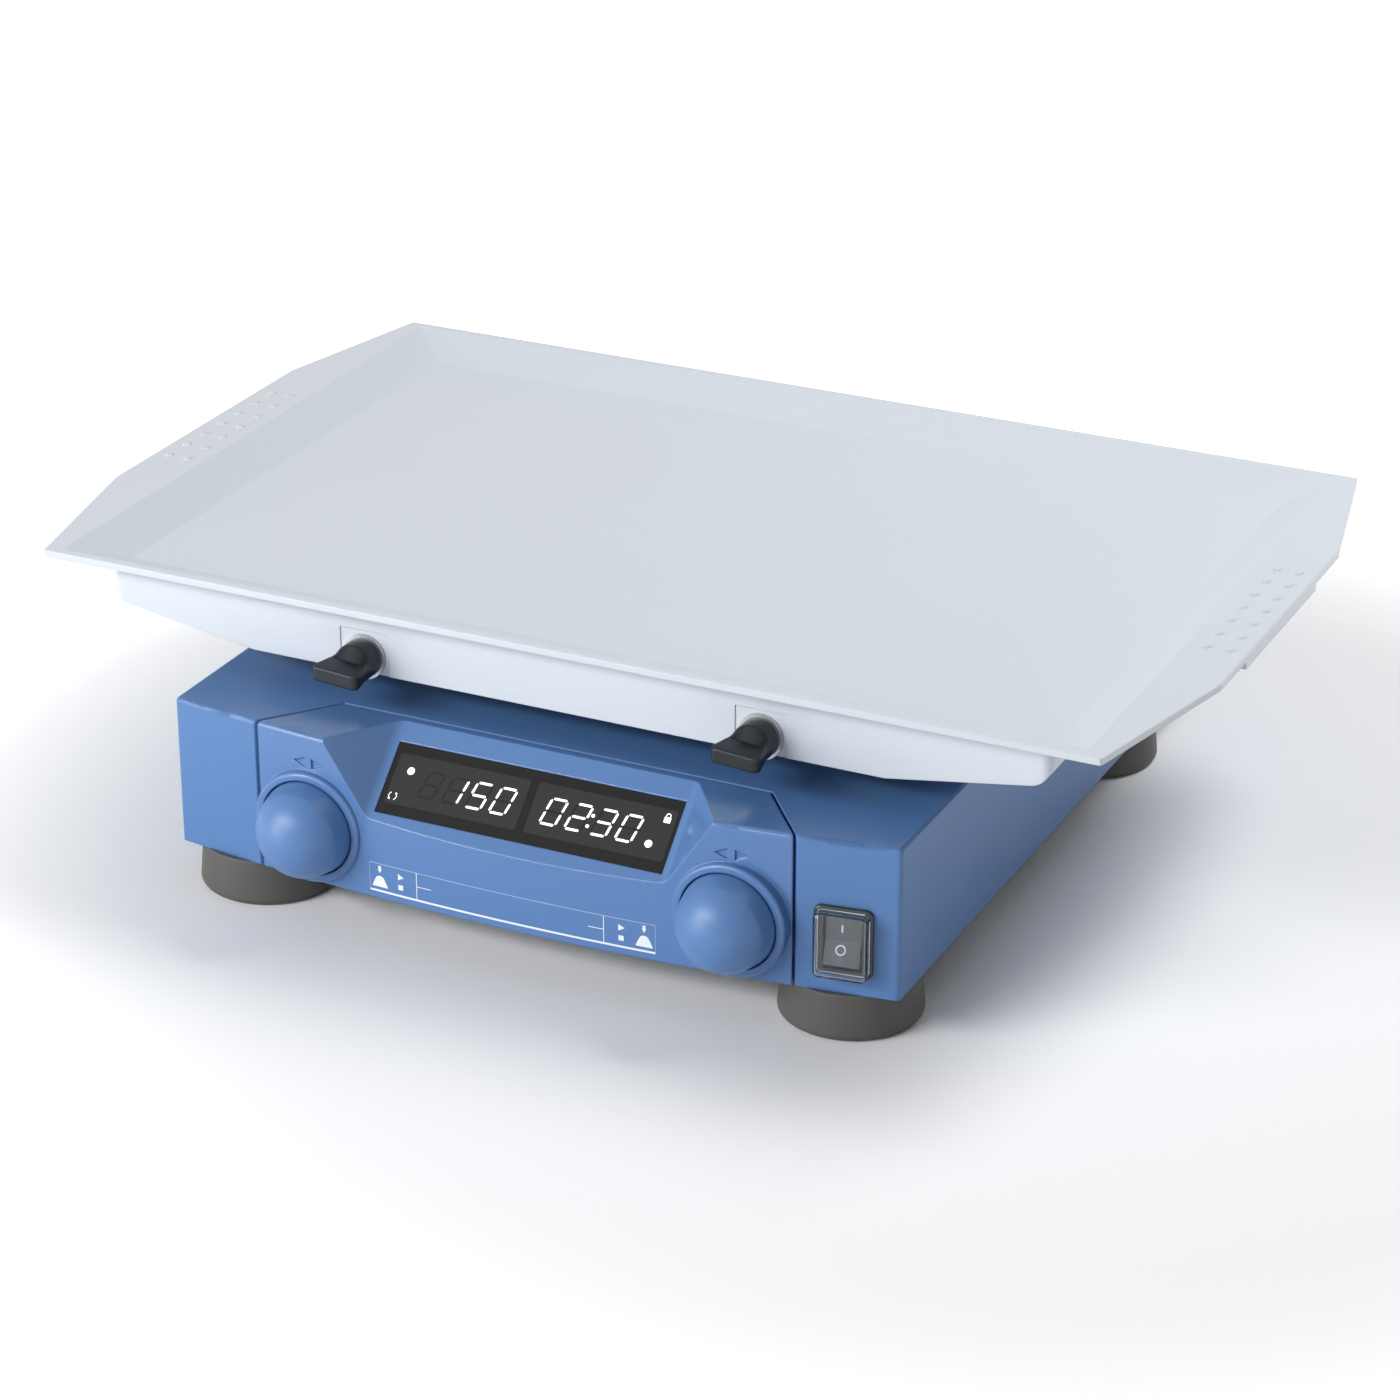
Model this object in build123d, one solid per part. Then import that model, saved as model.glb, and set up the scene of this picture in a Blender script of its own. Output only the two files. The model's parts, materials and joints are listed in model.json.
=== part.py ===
from build123d import *
import os
from math import atan2, cos, hypot, pi, radians, sin, sqrt

# Bench orbital shaker with a loose tray. Millimetres, +Z up, +Y to the back.
# While it is drawn, y = 0 lies on the two front corners of the housing and
# z = 0 on the bench. save() then moves each piece so that the origin is the
# middle of the footprint.

# Housing cover, its front wall bowed outwards in plan
housing_width = 270.0
housing_bottom = 16.7
housing_top = 71.0
rear_face = 288.8
front_bow = 10.8
wall = 3.0
corner_radius = 1.8
top_edge_radius = 1.6
seam_edge_radius = 0.4

# Control panel set into the housing
panel_offset = 0.0
panel_half = 100.15
panel_back_half = 80.0
panel_back = 20.5
seam = 0.9
lip_thickness = 1.6
lip_reach = 2.5
panel_play = 0.2

# Sloping display recess in the panel
recess_tilt = 44.0
recess_low_edge = 44.0
recess_half = 55.5
recess_wall = 2.5
recess_corner = 5.0
window_width = 107.0
window_length = 25.7
window_start = 5.6
window_thickness = 1.4
window_sink = 0.3
window_play = 0.15
window_ledge = 1.5
module_depth = 5.5
module_gap = 0.3

# Turn-and-push knobs in their collars
knob_spacing = 157.2
knob_height = 37.5
collar_face = -10.2
collar_radius = 20.25
collar_edge_radius = 1.3
collar_depth = 3.6
collar_back = -3.6
knob_radius = 16.9
knob_reach = 17.0
knob_skirt = 7.0
knob_taper = 1.4
knob_sunk = 1.3
knob_gap = 0.6
knob_shell = 2.2
knob_hub_radius = 5.0
knob_travel = 1.0
knob_shaft_end = 6.0
arrow_height = 23.0
arrow_width = 4.6
arrow_tall = 3.8
arrow_gap = 2.6
arrow_depth = 0.7

# Push encoders behind the knobs
encoder_size = 12.5
encoder_depth = 9.0
encoder_shaft_radius = 3.0
encoder_bush_radius = 4.5
encoder_bush_length = 2.6
encoder_play = 0.2
running_play = 0.08
plunger_radius = 3.4
plunger_thickness = 1.3

# Mains rocker switch right of the panel
switch_x = 116.6
switch_z = 35.7
switch_width = 19.9
switch_tall = 25.0
switch_flange = 1.6
switch_rim = 2.7
switch_frame_side = 3.4
switch_frame_end = 2.8
switch_corner = 2.6
switch_depth = 15.0
switch_play = 0.2
rocker_play = 0.45
rocker_sunk = 1.6
rocker_end_play = 1.05
rocker_tilt = 10.0
rocker_pivot_depth = 3.0
rocker_pin_radius = 1.2
rocker_pin_length = 0.8
cover_height = 4.6
cover_wall = 0.8
cover_inset = 0.9

# Feet
foot_radius = 23.2
foot_low_radius = 24.6
foot_edge_radius = 2.4
foot_screw_radius = 2.5
foot_head_radius = 4.6
foot_head_depth = 8.0
foot_head_thickness = 3.0
front_foot_x = 110.6
front_foot_y = 17.8
rear_foot_x = 112.0
rear_foot_y = 235.6

# Base casting with its bearing pillars
base_thickness = 4.0
base_play = 0.3
idler_half_x = 95.0
idler_half_y = 85.0
idler_pillar_radius = 13.0
idler_pillar_top = 62.0
centre_pillar_radius = 22.0
centre_pillar_top = 44.0
web_thickness = 4.0
web_height = 12.0

# Orbit drive: an eccentric shaft turns the table on a small circle
orbit_throw = 2.0
drive_journal_radius = 6.0
drive_pin_radius = 6.0
main_bearing_radius = 14.0
main_bearing_width = 8.0
main_bearing_low = 22.7
drive_pin_top = 93.0
seat_play = 0.02
bearing_groove = 1.4
bearing_end_play = 0.01

# Parallel idler cranks
idler_journal_radius = 4.0
idler_pin_radius = 4.0
idler_bearing_radius = 8.0
idler_bearing_width = 5.0
idler_flange_radius = 12.0
idler_flange_thickness = 4.0
idler_flange_gap = 0.5
idler_shaft_low = 24.0
idler_bush_wall = 2.0

# Belt drive
motor_x = -75.0
big_pulley_radius = 30.0
small_pulley_radius = 10.0
pulley_low = 46.5
pulley_width = 10.0
pulley_flange = 1.0
belt_thickness = 2.2
belt_width = 6.6
belt_rib = 1.0
belt_ribs = 3
belt_play = 0.12
weight_radius = 42.0
weight_low = 57.5
weight_thickness = 6.5
weight_screw_radius = 2.0
weight_screw_half_x = 20.0
weight_screw_y = 18.0

# Motor and its bracket
motor_radius = 26.0
motor_low = 22.0
motor_top = 42.7
motor_boss_radius = 9.0
motor_shaft_radius = 3.0
motor_wall = 5.0
bracket_thickness = 3.0
bracket_half_x = 33.0
bracket_half_y = 30.0
bracket_leg_radius = 4.5

# Openings in the housing top for the cranks
drive_opening_radius = 15.0
idler_opening_radius = 10.0
opening_rim = 2.0
seal_lip_radius = 10.0
seal_height = 2.6

# Orbiting table
tray_centre_y = 144.95
table_half_x = 130.0
table_top = 100.05
table_skin = 4.0
table_rim_bottom = 82.0
table_rim = 6.0
hub_radius = 19.0
crank_bearing_low = 83.0
idler_boss_radius = 9.5
idler_boss_bottom = 81.0
clamp_boss_depth = 14.0
clamp_boss_width = 18.0

# Loose tray
tray_rim_z = 109.4
tray_floor_z = 102.17
tray_floor_thickness = 2.0
tray_sheet = 2.5
tray_corner_half_x = 195.0
tray_half_y = 130.9
tray_grip_half_x = 210.0
tray_grip_half_y = 61.5
tray_fold_half_x = 189.0
tray_fold_half_y = 127.35
tray_floor_half_x = 172.9
tray_floor_half_y = 109.65
tray_edge_radius = 0.6
tray_corner_radius = 1.0
tray_fold_radius = 3.0
grip_lip_depth = 3.9
grip_lip_half_y = 36.5
grip_dot_radius = 1.9
grip_dot_height = 0.8
grip_dot_pitch = 12.0
grip_dots = 7
grip_dot_row_gap = 7.9
grip_dot_margin = 6.3
skirt_half_x = 174.6
skirt_half_y = 119.95
skirt_corner_radius = 3.6
skirt_bottom = 81.9
skirt_end_bottom = 90.7
skirt_low_half_x = 118.0
skirt_low_corner = 8.0
table_play = 0.3

# Clamp screws through slots in the tray's front skirt
clamp_half_x = 74.0
clamp_z = 88.0
clamp_slot_radius = 4.2
clamp_pad_half_x = 9.3
clamp_pad_sink = 0.3
clamp_gap = 0.3
washer_radius = 8.0
washer_thickness = 1.2
stud_radius = 3.0
stud_length = 24.0
stud_in_lever = 6.5
lever_hub_radius = 7.0
lever_hub_length = 6.5
lever_neck_length = 4.0
lever_blade_length = 9.3
lever_blade_root = 14.6
lever_blade_width = 18.6
lever_blade_thickness = 5.4
lever_angle = 4.0
lever_edge_radius = 0.8
locating_head_radius = 5.5
locating_head_thickness = 3.0

# Boards and rear connectors
board_thickness = 1.6
board_top = 45.0
board_end_margin = 8.15
inlet_x = -78.0
inlet_z = 42.0
inlet_width = 27.0
inlet_tall = 19.6
inlet_depth = 20.0
inlet_flange = 1.6
inlet_flange_margin = 2.0
port_x = 66.0
port_z = 42.0
port_width = 17.0
port_tall = 8.6
port_plate_width = 30.8
port_plate_tall = 12.6
supply_half_x = 58.0
supply_front = 250.0
supply_back = 280.0
supply_post = 4.0

# Worked out from the sizes above
housing_half = housing_width / 2
bow_radius = (housing_half**2 + front_bow**2) / (2 * front_bow)
middle_y = (collar_face - knob_reach + rear_face) / 2
floor_top = housing_bottom + base_thickness
skirt_front = tray_centre_y - skirt_half_y
drive_y = tray_centre_y - orbit_throw
knob_xs = {"left": panel_offset - knob_spacing / 2, "right": panel_offset + knob_spacing / 2}
clamp_xs = {"left": -clamp_half_x, "right": clamp_half_x}
idler_places = {
    "front_left": (-idler_half_x, drive_y - idler_half_y),
    "front_right": (idler_half_x, drive_y - idler_half_y),
    "rear_left": (-idler_half_x, drive_y + idler_half_y),
    "rear_right": (idler_half_x, drive_y + idler_half_y),
}
foot_places = {
    "front_left": (-front_foot_x, front_foot_y),
    "front_right": (front_foot_x, front_foot_y),
    "rear_left": (-rear_foot_x, rear_foot_y),
    "rear_right": (rear_foot_x, rear_foot_y),
}
housing_post_radius = 4.5
housing_post_inset = 11.5
housing_posts = [(sx * (housing_half - housing_post_inset), y)
                 for sx in (-1, 1) for y in (50.0, 175.0, rear_face - 12.0)]
panel_post_xs = (panel_offset - 45.0, panel_offset + 45.0)
panel_post_y = 0.0
panel_post_top = 34.0
screw_radius = 1.5
screw_head_radius = 2.8
screw_head_thickness = 1.8


def save(name, shape):
    """Write one node, moved so that the origin is the middle of the footprint."""
    move = Pos(0, -middle_y, 0)
    if isinstance(shape, list):
        shape = Compound(children=[move * solid for solid in shape])
    else:
        shape = move * shape
    export_step(shape, f"parts/{name}.step")


def upright(radius, low, high, x=0.0, y=0.0):
    """Vertical cylinder between two heights."""
    return Pos(x, y, low) * Cylinder(radius, high - low, align=(Align.CENTER, Align.CENTER, Align.MIN))


def along_y(radius, front, back, x, z):
    """Cylinder with its axis along Y between two depths."""
    bar = Cylinder(radius, back - front, align=(Align.CENTER, Align.CENTER, Align.MIN))
    return Pos(x, front, z) * Rot(-90, 0, 0) * bar


def block(x0, x1, y0, y1, z0, z1):
    """Box between given faces."""
    return Pos((x0 + x1) / 2, (y0 + y1) / 2, (z0 + z1) / 2) * Box(x1 - x0, y1 - y0, z1 - z0)


def front_y(x):
    """Depth of the bowed front wall at x."""
    return bow_radius - front_bow - sqrt(bow_radius**2 - x**2)


def united(shapes):
    """All the shapes as one solid."""
    shapes = list(shapes)
    return shapes[0].fuse(*shapes[1:]) if len(shapes) > 1 else shapes[0]


# Housing

def housing_form(inset, low, high):
    """Block of the housing, moved in by inset, between two heights."""
    half = housing_half - inset
    bow = ThreePointArc((-half, inset), (0, inset - front_bow), (half, inset))
    rest = Polyline((half, inset), (half, rear_face - inset), (-half, rear_face - inset), (-half, inset))
    return Pos(0, 0, low) * extrude(make_face(bow.edges() + rest.edges()), high - low)


def housing_block():
    """Outside of housing and panel together, with its upright edges rounded."""
    body = housing_form(0, housing_bottom, housing_top)
    return fillet(body.edges().filter_by(Axis.Z), corner_radius)


def housing_solid():
    """Outside of housing and panel together, with its edges rounded."""
    body = housing_block()
    return fillet(body.faces().sort_by(Axis.Z)[-1].edges(), top_edge_radius)


def housing_inside(inset=wall):
    """Hollow under the cover."""
    return housing_form(inset, housing_bottom - 5, housing_top - inset)


def panel_prism(grow):
    """Region of the control panel in plan, grown by an amount, as a tall prism."""
    front = front_y(panel_half)
    run_out = panel_half + (panel_half - panel_back_half)
    corners = [(-run_out, 2 * front - panel_back), (-panel_back_half, panel_back),
               (panel_back_half, panel_back), (run_out, 2 * front - panel_back)]
    region = offset(make_face(Polyline(*corners, close=True)), grow, kind=Kind.INTERSECTION)
    return Pos(panel_offset, 0, housing_bottom - 10) * extrude(region, housing_top + 30)


def switch_place():
    """Plane on the bowed front wall where the mains switch sits, z outwards."""
    slope = switch_x / sqrt(bow_radius**2 - switch_x**2)
    size = hypot(1, slope)
    return Plane(origin=(switch_x, front_y(switch_x), switch_z), x_dir=(1 / size, slope / size, 0),
                 z_dir=(slope / size, -1 / size, 0))


def housing_shell(outer, inside):
    """Cover with an inner lip that the panel closes on."""
    band = panel_prism(lip_reach) - panel_prism(-lip_reach)
    shell = outer - (inside - band) - housing_inside(wall + lip_thickness)
    shell -= panel_prism(seam / 2) - inside
    for x, y in housing_posts:
        side = 1 if x > 0 else -1
        post = upright(housing_post_radius, floor_top, housing_top - wall / 2, x, y)
        web = block(min(x, x + side * 9), max(x, x + side * 9), y - 1.5, y + 1.5, floor_top, housing_top - wall / 2)
        shell += (post + web) & housing_form(wall / 2, housing_bottom, housing_top - wall / 2)
        shell -= upright(screw_radius, floor_top - 1, floor_top + 20, x, y)
    for radius, places in ((drive_opening_radius, [(0, drive_y)]), (idler_opening_radius, idler_places.values())):
        for x, y in places:
            shell += upright(radius + opening_rim, housing_top - wall, housing_top + opening_rim, x, y)
            shell -= upright(radius, housing_top - 2 * wall, housing_top + 2 * opening_rim, x, y)
    cutter = Box(switch_width - switch_rim + switch_play, switch_tall - switch_rim + switch_play, 20)
    shell -= switch_place().location * cutter
    inlet = block(inlet_x - inlet_width / 2 - switch_play, inlet_x + inlet_width / 2 + switch_play,
                  rear_face - 10, rear_face + 5, inlet_z - inlet_tall / 2 - switch_play,
                  inlet_z + inlet_tall / 2 + switch_play)
    port = block(port_x - port_width / 2 - switch_play, port_x + port_width / 2 + switch_play,
                 rear_face - 10, rear_face + 5, port_z - port_tall / 2 - switch_play,
                 port_z + port_tall / 2 + switch_play)
    return shell - inlet - port


# Control panel with the display recess

def recess_plane(along=0.0):
    """Plane across the recess, a distance up its slope; local y leaves the floor."""
    slope = (0, cos(radians(recess_tilt)), sin(radians(recess_tilt)))
    origin = (panel_offset, -front_bow + along * slope[1], recess_low_edge + along * slope[2])
    return Plane(origin=origin, x_dir=(-1, 0, 0), z_dir=slope)


def recess_space(grow, corner):
    """Space of the recess: a trapezoid with 45 degree sides, run along the slope."""
    tall = 60.0
    section = make_face(Polyline((-recess_half, 0), (recess_half, 0), (recess_half + tall, tall),
                                 (-recess_half - tall, tall), close=True))
    section = offset(section, grow, kind=Kind.INTERSECTION)
    section = fillet(section.vertices().sort_by(Axis.Y)[:2], corner)
    return extrude(recess_plane(-40).location * section, 120)


def recess_plate(width, start, length, low, high):
    """Plate lying parallel to the recess floor, between two levels above it."""
    place = recess_plane(start).location
    return place * Pos(0, (low + high) / 2, length / 2) * Box(width, high - low, length)


def arrow_pair(x):
    """Two small triangles that point left and right, as a cutter."""
    low = knob_height + arrow_height - arrow_tall / 2
    cuts = []
    for side in (-1, 1):
        root = side * arrow_gap / 2
        tip = root + side * arrow_width
        shape = make_face(Polyline((root, 0), (tip, arrow_tall / 2), (root, arrow_tall), close=True))
        cuts.append(Pos(x, 0, low) * extrude(Plane.XZ.location * shape, 30, both=True))
    return cuts


def panel_region(outer):
    """Outside of the panel before it is hollowed, its edges along the seam rounded."""
    prism = panel_prism(-seam / 2)
    region = (outer & prism).solid()
    seam_edges = []
    for edge in region.edges():
        points = [Vertex(*(edge @ t)) for t in (0.25, 0.5, 0.75)]
        along_seam = all(prism.shell().distance_to(point) < 1e-3 for point in points)
        if along_seam and abs(edge.center().Z - housing_bottom) > 0.01:
            seam_edges.append(edge)
    return fillet(seam_edges, seam_edge_radius)


def front_panel(outer):
    """Bowed panel wrapping over the front top edge."""
    region = panel_region(outer)
    panel = region - housing_form(wall - panel_play, housing_bottom - 5, housing_top - wall + panel_play)
    panel += region & recess_space(recess_wall, recess_corner + recess_wall)
    for x in panel_post_xs:
        panel += block(x - 4, x + 4, front_y(x) + 1, panel_post_y, floor_top, panel_post_top) & region
    panel -= recess_space(0, recess_corner)
    for x in panel_post_xs:
        panel += upright(4, floor_top, panel_post_top, x, panel_post_y)
        panel -= upright(screw_radius, floor_top - 1, floor_top + 10, x, panel_post_y)
    for x in knob_xs.values():
        collar = along_y(collar_radius, collar_face, collar_back, x, knob_height)
        collar = fillet(collar.edges().group_by(Axis.Y)[0], collar_edge_radius)
        panel += collar - recess_space(0, recess_corner)
    for x in knob_xs.values():
        panel -= along_y(knob_radius + knob_gap, collar_face - 1, collar_face + collar_depth, x, knob_height)
        panel -= along_y(encoder_bush_radius + encoder_play, collar_face, collar_back + 5, x, knob_height)
        half = encoder_size / 2 + encoder_play
        panel -= block(x - half, x + half, collar_back, collar_back + 5, knob_height - half, knob_height + half)
        for cut in arrow_pair(x):
            panel -= cut & (housing_form(-2, housing_bottom, housing_top)
                            - housing_form(arrow_depth, housing_bottom, housing_top - 1))
    panel -= recess_plate(window_width + 2 * window_play, window_start - window_play,
                          window_length + 2 * window_play, -window_thickness - window_sink, 5)
    panel -= recess_plate(window_width - 2 * window_ledge, window_start + window_ledge,
                          window_length - 2 * window_ledge, -recess_wall - 1, 5)
    return panel


def display_window():
    """Dark pane let into the recess floor."""
    pane = recess_plate(window_width, window_start, window_length, -window_thickness - window_sink, -window_sink)
    return pane


def display_module():
    """Digit block and its board under the pane."""
    top = -recess_wall - module_gap
    digits = recess_plate(window_width - 8, window_start + 3, window_length - 6, top - module_depth, top)
    board = recess_plate(window_width - 2, window_start - 1, window_length + 2,
                         top - module_depth - board_thickness, top - module_depth)
    return digits + board


# Knobs and encoders

def dome_section(radius, low, straight, tip):
    """Half section of a round block: a tapered skirt and a ball end that starts with a slight crease."""
    shoulder = radius - knob_taper
    centre = (tip**2 - straight**2 - shoulder**2) / (2 * (tip - straight))
    half_turn = (atan2(straight - centre, shoulder) + pi / 2) / 2
    middle = ((tip - centre) * cos(half_turn), centre + (tip - centre) * sin(half_turn))
    arc = ThreePointArc((shoulder, straight), middle, (0, tip))
    sides = Polyline((0, tip), (0, low), (radius, low), (radius, 0), (shoulder, straight))
    return make_face(sides.edges() + arc.edges())


def knob(x):
    """Hollow dome on a hub."""
    section = dome_section(knob_radius, -knob_sunk, knob_skirt, knob_reach)
    section -= dome_section(knob_radius - knob_shell, -knob_sunk - 1, knob_skirt, knob_reach - knob_shell)
    hub = knob_reach - knob_shell / 2 + knob_sunk
    section += Pos(0, -knob_sunk) * Rectangle(knob_hub_radius, hub, align=(Align.MIN, Align.MIN))
    bore = knob_reach - knob_shaft_end + knob_sunk
    section -= Pos(0, -knob_sunk) * Rectangle(encoder_shaft_radius + seat_play, bore, align=(Align.MIN, Align.MIN))
    body = revolve(Plane.XZ.location * section, Axis.Z)
    return Pos(x, collar_face, knob_height) * Rot(90, 0, 0) * body


def encoder_shaft(x):
    """Shaft that the knob is pushed on, with a thrust disc at its back end."""
    rear = collar_back + encoder_play
    shaft = along_y(encoder_shaft_radius, collar_face - knob_reach + knob_shaft_end + 0.2, rear + 3.2, x, knob_height)
    return shaft + along_y(plunger_radius, rear + 3.2, rear + 4.0, x, knob_height)


def encoder_plunger(x):
    """Push disc behind the shaft."""
    front = collar_back + encoder_play + 4.1
    return along_y(plunger_radius, front, front + plunger_thickness, x, knob_height)


def encoder_body(x):
    """Square body with a threaded bush through the panel."""
    front = collar_back + encoder_play
    half = encoder_size / 2
    body = block(x - half, x + half, front, front + encoder_depth, knob_height - half, knob_height + half)
    body += along_y(encoder_bush_radius, front - encoder_bush_length, front, x, knob_height)
    body -= along_y(encoder_shaft_radius + running_play, front - 10, front + 4, x, knob_height)
    chamber = 4.1 + plunger_thickness + knob_travel + 0.3
    return body - along_y(plunger_radius + running_play, front + 2.9, front + chamber, x, knob_height)


def control_board():
    """Board that carries both encoders."""
    front = collar_back + 2 * encoder_play + encoder_depth
    half = panel_half - board_end_margin
    return block(panel_offset - half, panel_offset + half, front, front + board_thickness, floor_top + 3.3, board_top)


# Mains switch, drawn with z outwards

def rocker_opening(grow=0.0):
    """Half sizes of the opening that the rocker sits in."""
    return switch_width / 2 - switch_frame_side + grow, switch_tall / 2 - switch_frame_end + grow


def power_switch_frame():
    """Frame and body of the rocker switch."""
    body_w = switch_width - switch_rim
    body_t = switch_tall - switch_rim
    half_w, half_t = rocker_opening()
    frame = Pos(0, 0, switch_flange / 2 + 0.1) * Box(switch_width, switch_tall, switch_flange)
    frame = fillet(frame.edges().filter_by(Axis.Z), switch_corner)
    frame = fillet(frame.faces().sort_by(Axis.Z)[-1].edges(), switch_flange / 2)
    frame += Pos(0, 0, 0.1 - switch_depth / 2) * Box(body_w, body_t, switch_depth)
    frame -= Pos(0, 0, 2 - switch_depth / 2) * Box(2 * half_w, 2 * half_t, switch_depth)
    pins = Pos(0, 0, -rocker_pivot_depth) * Rot(0, 90, 0) * Cylinder(rocker_pin_radius + running_play,
                                                                     2 * (half_w + rocker_pin_length + rocker_play))
    return switch_place().location * (frame - pins)


def power_rocker():
    """Rocker with a hollow face, its upper end pressed in."""
    half_w, half_t = rocker_opening()
    half_w -= rocker_play
    half_t -= rocker_end_play
    top = switch_flange - rocker_sunk + 1.6
    face = make_face(Polyline((-half_t, top), (0, top - 1.3), (half_t, top), (half_t - 0.6, -1.8),
                              (4.0, -7.0), (-4.0, -7.0), (-half_t + 0.6, -1.8), close=True))
    body = extrude(Plane.YZ.location * face, half_w, both=True)
    pin_half = half_w + rocker_pin_length
    body += Pos(0, 0, -rocker_pivot_depth) * Rot(0, 90, 0) * Cylinder(rocker_pin_radius, 2 * pin_half)
    tilt = Pos(0, 0, -rocker_pivot_depth) * Rot(-rocker_tilt, 0, 0) * Pos(0, 0, rocker_pivot_depth)
    return switch_place().location * tilt * body


def switch_splash_cover():
    """Thin clear hood over the rocker."""
    low = switch_flange + 0.1
    wide = switch_width - 2 * cover_inset
    tall = switch_tall - 2 * cover_inset
    hood = Pos(0, 0, low + cover_height / 2) * Box(wide, tall, cover_height)
    hood = fillet(hood.edges().filter_by(Axis.Z), switch_corner - cover_inset / 2)
    hood = fillet(hood.faces().sort_by(Axis.Z)[-1].edges(), 1.4)
    inner = Box(wide - 2 * cover_wall, tall - 2 * cover_wall, cover_height)
    inner = fillet(inner.edges().filter_by(Axis.Z), 1.0)
    inner = fillet(inner.faces().sort_by(Axis.Z)[-1].edges(), 0.6)
    return switch_place().location * (hood - Pos(0, 0, low + cover_height / 2 - cover_wall) * inner)


# Feet and base

def foot(x, y):
    """Round rubber foot with a sunk screw."""
    top = housing_bottom
    outline = make_face(Polyline((0, 0), (foot_low_radius, 0), (foot_radius, top), (0, top), close=True))
    outline = fillet(outline.vertices().sort_by(Axis.X)[-2:].sort_by(Axis.Y)[0], foot_edge_radius)
    body = revolve(Plane.XZ.location * outline, Axis.Z)
    body -= upright(foot_head_radius + 0.4, -1, foot_head_depth)
    body -= upright(foot_screw_radius + running_play, -1, top + 1)
    return Pos(x, y, 0) * body


def foot_screws():
    """Screws through the feet into the base."""
    screws = []
    for x, y in foot_places.values():
        head = upright(foot_head_radius, foot_head_depth - foot_head_thickness, foot_head_depth, x, y)
        screws.append(head + upright(foot_screw_radius, foot_head_depth, floor_top, x, y))
    return screws


def base_casting():
    """Floor plate with pillars for the cranks and webs between them."""
    plate = housing_form(wall + lip_thickness + base_play, housing_bottom, floor_top)
    solids = [plate, upright(centre_pillar_radius, housing_bottom, centre_pillar_top, 0, drive_y)]
    for x, y in idler_places.values():
        solids.append(upright(idler_pillar_radius, housing_bottom, idler_pillar_top, x, y))
        solids.append(base_web(x, y))
    base = united(solids)
    base -= upright(drive_journal_radius + 3, floor_top + 1, centre_pillar_top + 1, 0, drive_y)
    for low in main_bearing_levels():
        base -= upright(main_bearing_radius + seat_play, low, low + main_bearing_width + bearing_end_play, 0, drive_y)
    for x, y in idler_places.values():
        base -= upright(idler_journal_radius + 1.5, floor_top + 1, idler_pillar_top + 1, x, y)
        for low in idler_bearing_levels():
            base -= upright(idler_bearing_radius + seat_play, low, low + idler_bearing_width, x, y)
    for x, y in foot_places.values():
        base -= upright(foot_screw_radius + seat_play, housing_bottom - 1, floor_top + 1, x, y)
    for x, y in screw_places():
        base -= upright(screw_radius + 0.2, housing_bottom - 1, floor_top + 1, x, y)
        base -= upright(screw_head_radius + 0.2, housing_bottom - 1, housing_bottom + screw_head_thickness + 0.2, x, y)
    return base


def base_web(x, y):
    """Web from the middle pillar to an idler pillar."""
    length = hypot(x, y - drive_y)
    web = Box(length, web_thickness, web_height, align=(Align.MIN, Align.CENTER, Align.MIN))
    turn = Vector(1, 0, 0).get_signed_angle(Vector(x, y - drive_y, 0), Vector(0, 0, 1))
    return Pos(0, drive_y, floor_top - 1) * Rot(0, 0, turn) * web


def main_bearing_levels():
    """Lower faces of the two main bearings."""
    return main_bearing_low, centre_pillar_top - main_bearing_width


def idler_bearing_levels():
    """Lower faces of the two bearings of each idler."""
    return idler_shaft_low + 1, idler_pillar_top - idler_bearing_width


def bearing(bore, outer, low, width, x, y):
    """Ball bearing as one ring with a groove in each side face."""
    middle = (bore + outer) / 2
    ring = upright(outer, low, low + width, x, y) - upright(bore, low - 1, low + width + 1, x, y)
    groove = (upright(middle + bearing_groove / 2, low, low + width, x, y)
              - upright(middle - bearing_groove / 2, low, low + width, x, y))
    shift = width - 0.6
    return ring - Pos(0, 0, shift) * groove - Pos(0, 0, -shift) * groove


def main_bearings():
    """Two bearings of the drive shaft."""
    return [bearing(drive_journal_radius + running_play, main_bearing_radius, low, main_bearing_width, 0, drive_y)
            for low in main_bearing_levels()]


def idler_bearings():
    """Two bearings for each idler."""
    return [bearing(idler_journal_radius + running_play, idler_bearing_radius, low, idler_bearing_width, x, y)
            for x, y in idler_places.values() for low in idler_bearing_levels()]


def screw_places():
    """Where the screws come up through the base."""
    return housing_posts + [(x, panel_post_y) for x in panel_post_xs]


def base_screws(places):
    """Screws from below into the posts of the cover or the panel."""
    screws = []
    for x, y in places:
        head = upright(screw_head_radius, housing_bottom, housing_bottom + screw_head_thickness, x, y)
        screws.append(head + upright(screw_radius - seat_play, housing_bottom + 1, floor_top + 9, x, y))
    return screws


# Drive

def drive_shaft():
    """Shaft with its crank pin off the axis."""
    shaft = upright(drive_journal_radius, floor_top + 1.3, weight_low + weight_thickness, 0, drive_y)
    shaft += upright(drive_journal_radius + 2.5, weight_low + weight_thickness, weight_low + weight_thickness + 3,
                     0, drive_y)
    return shaft + upright(drive_pin_radius, weight_low + weight_thickness, drive_pin_top, 0, drive_y + orbit_throw)


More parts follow.
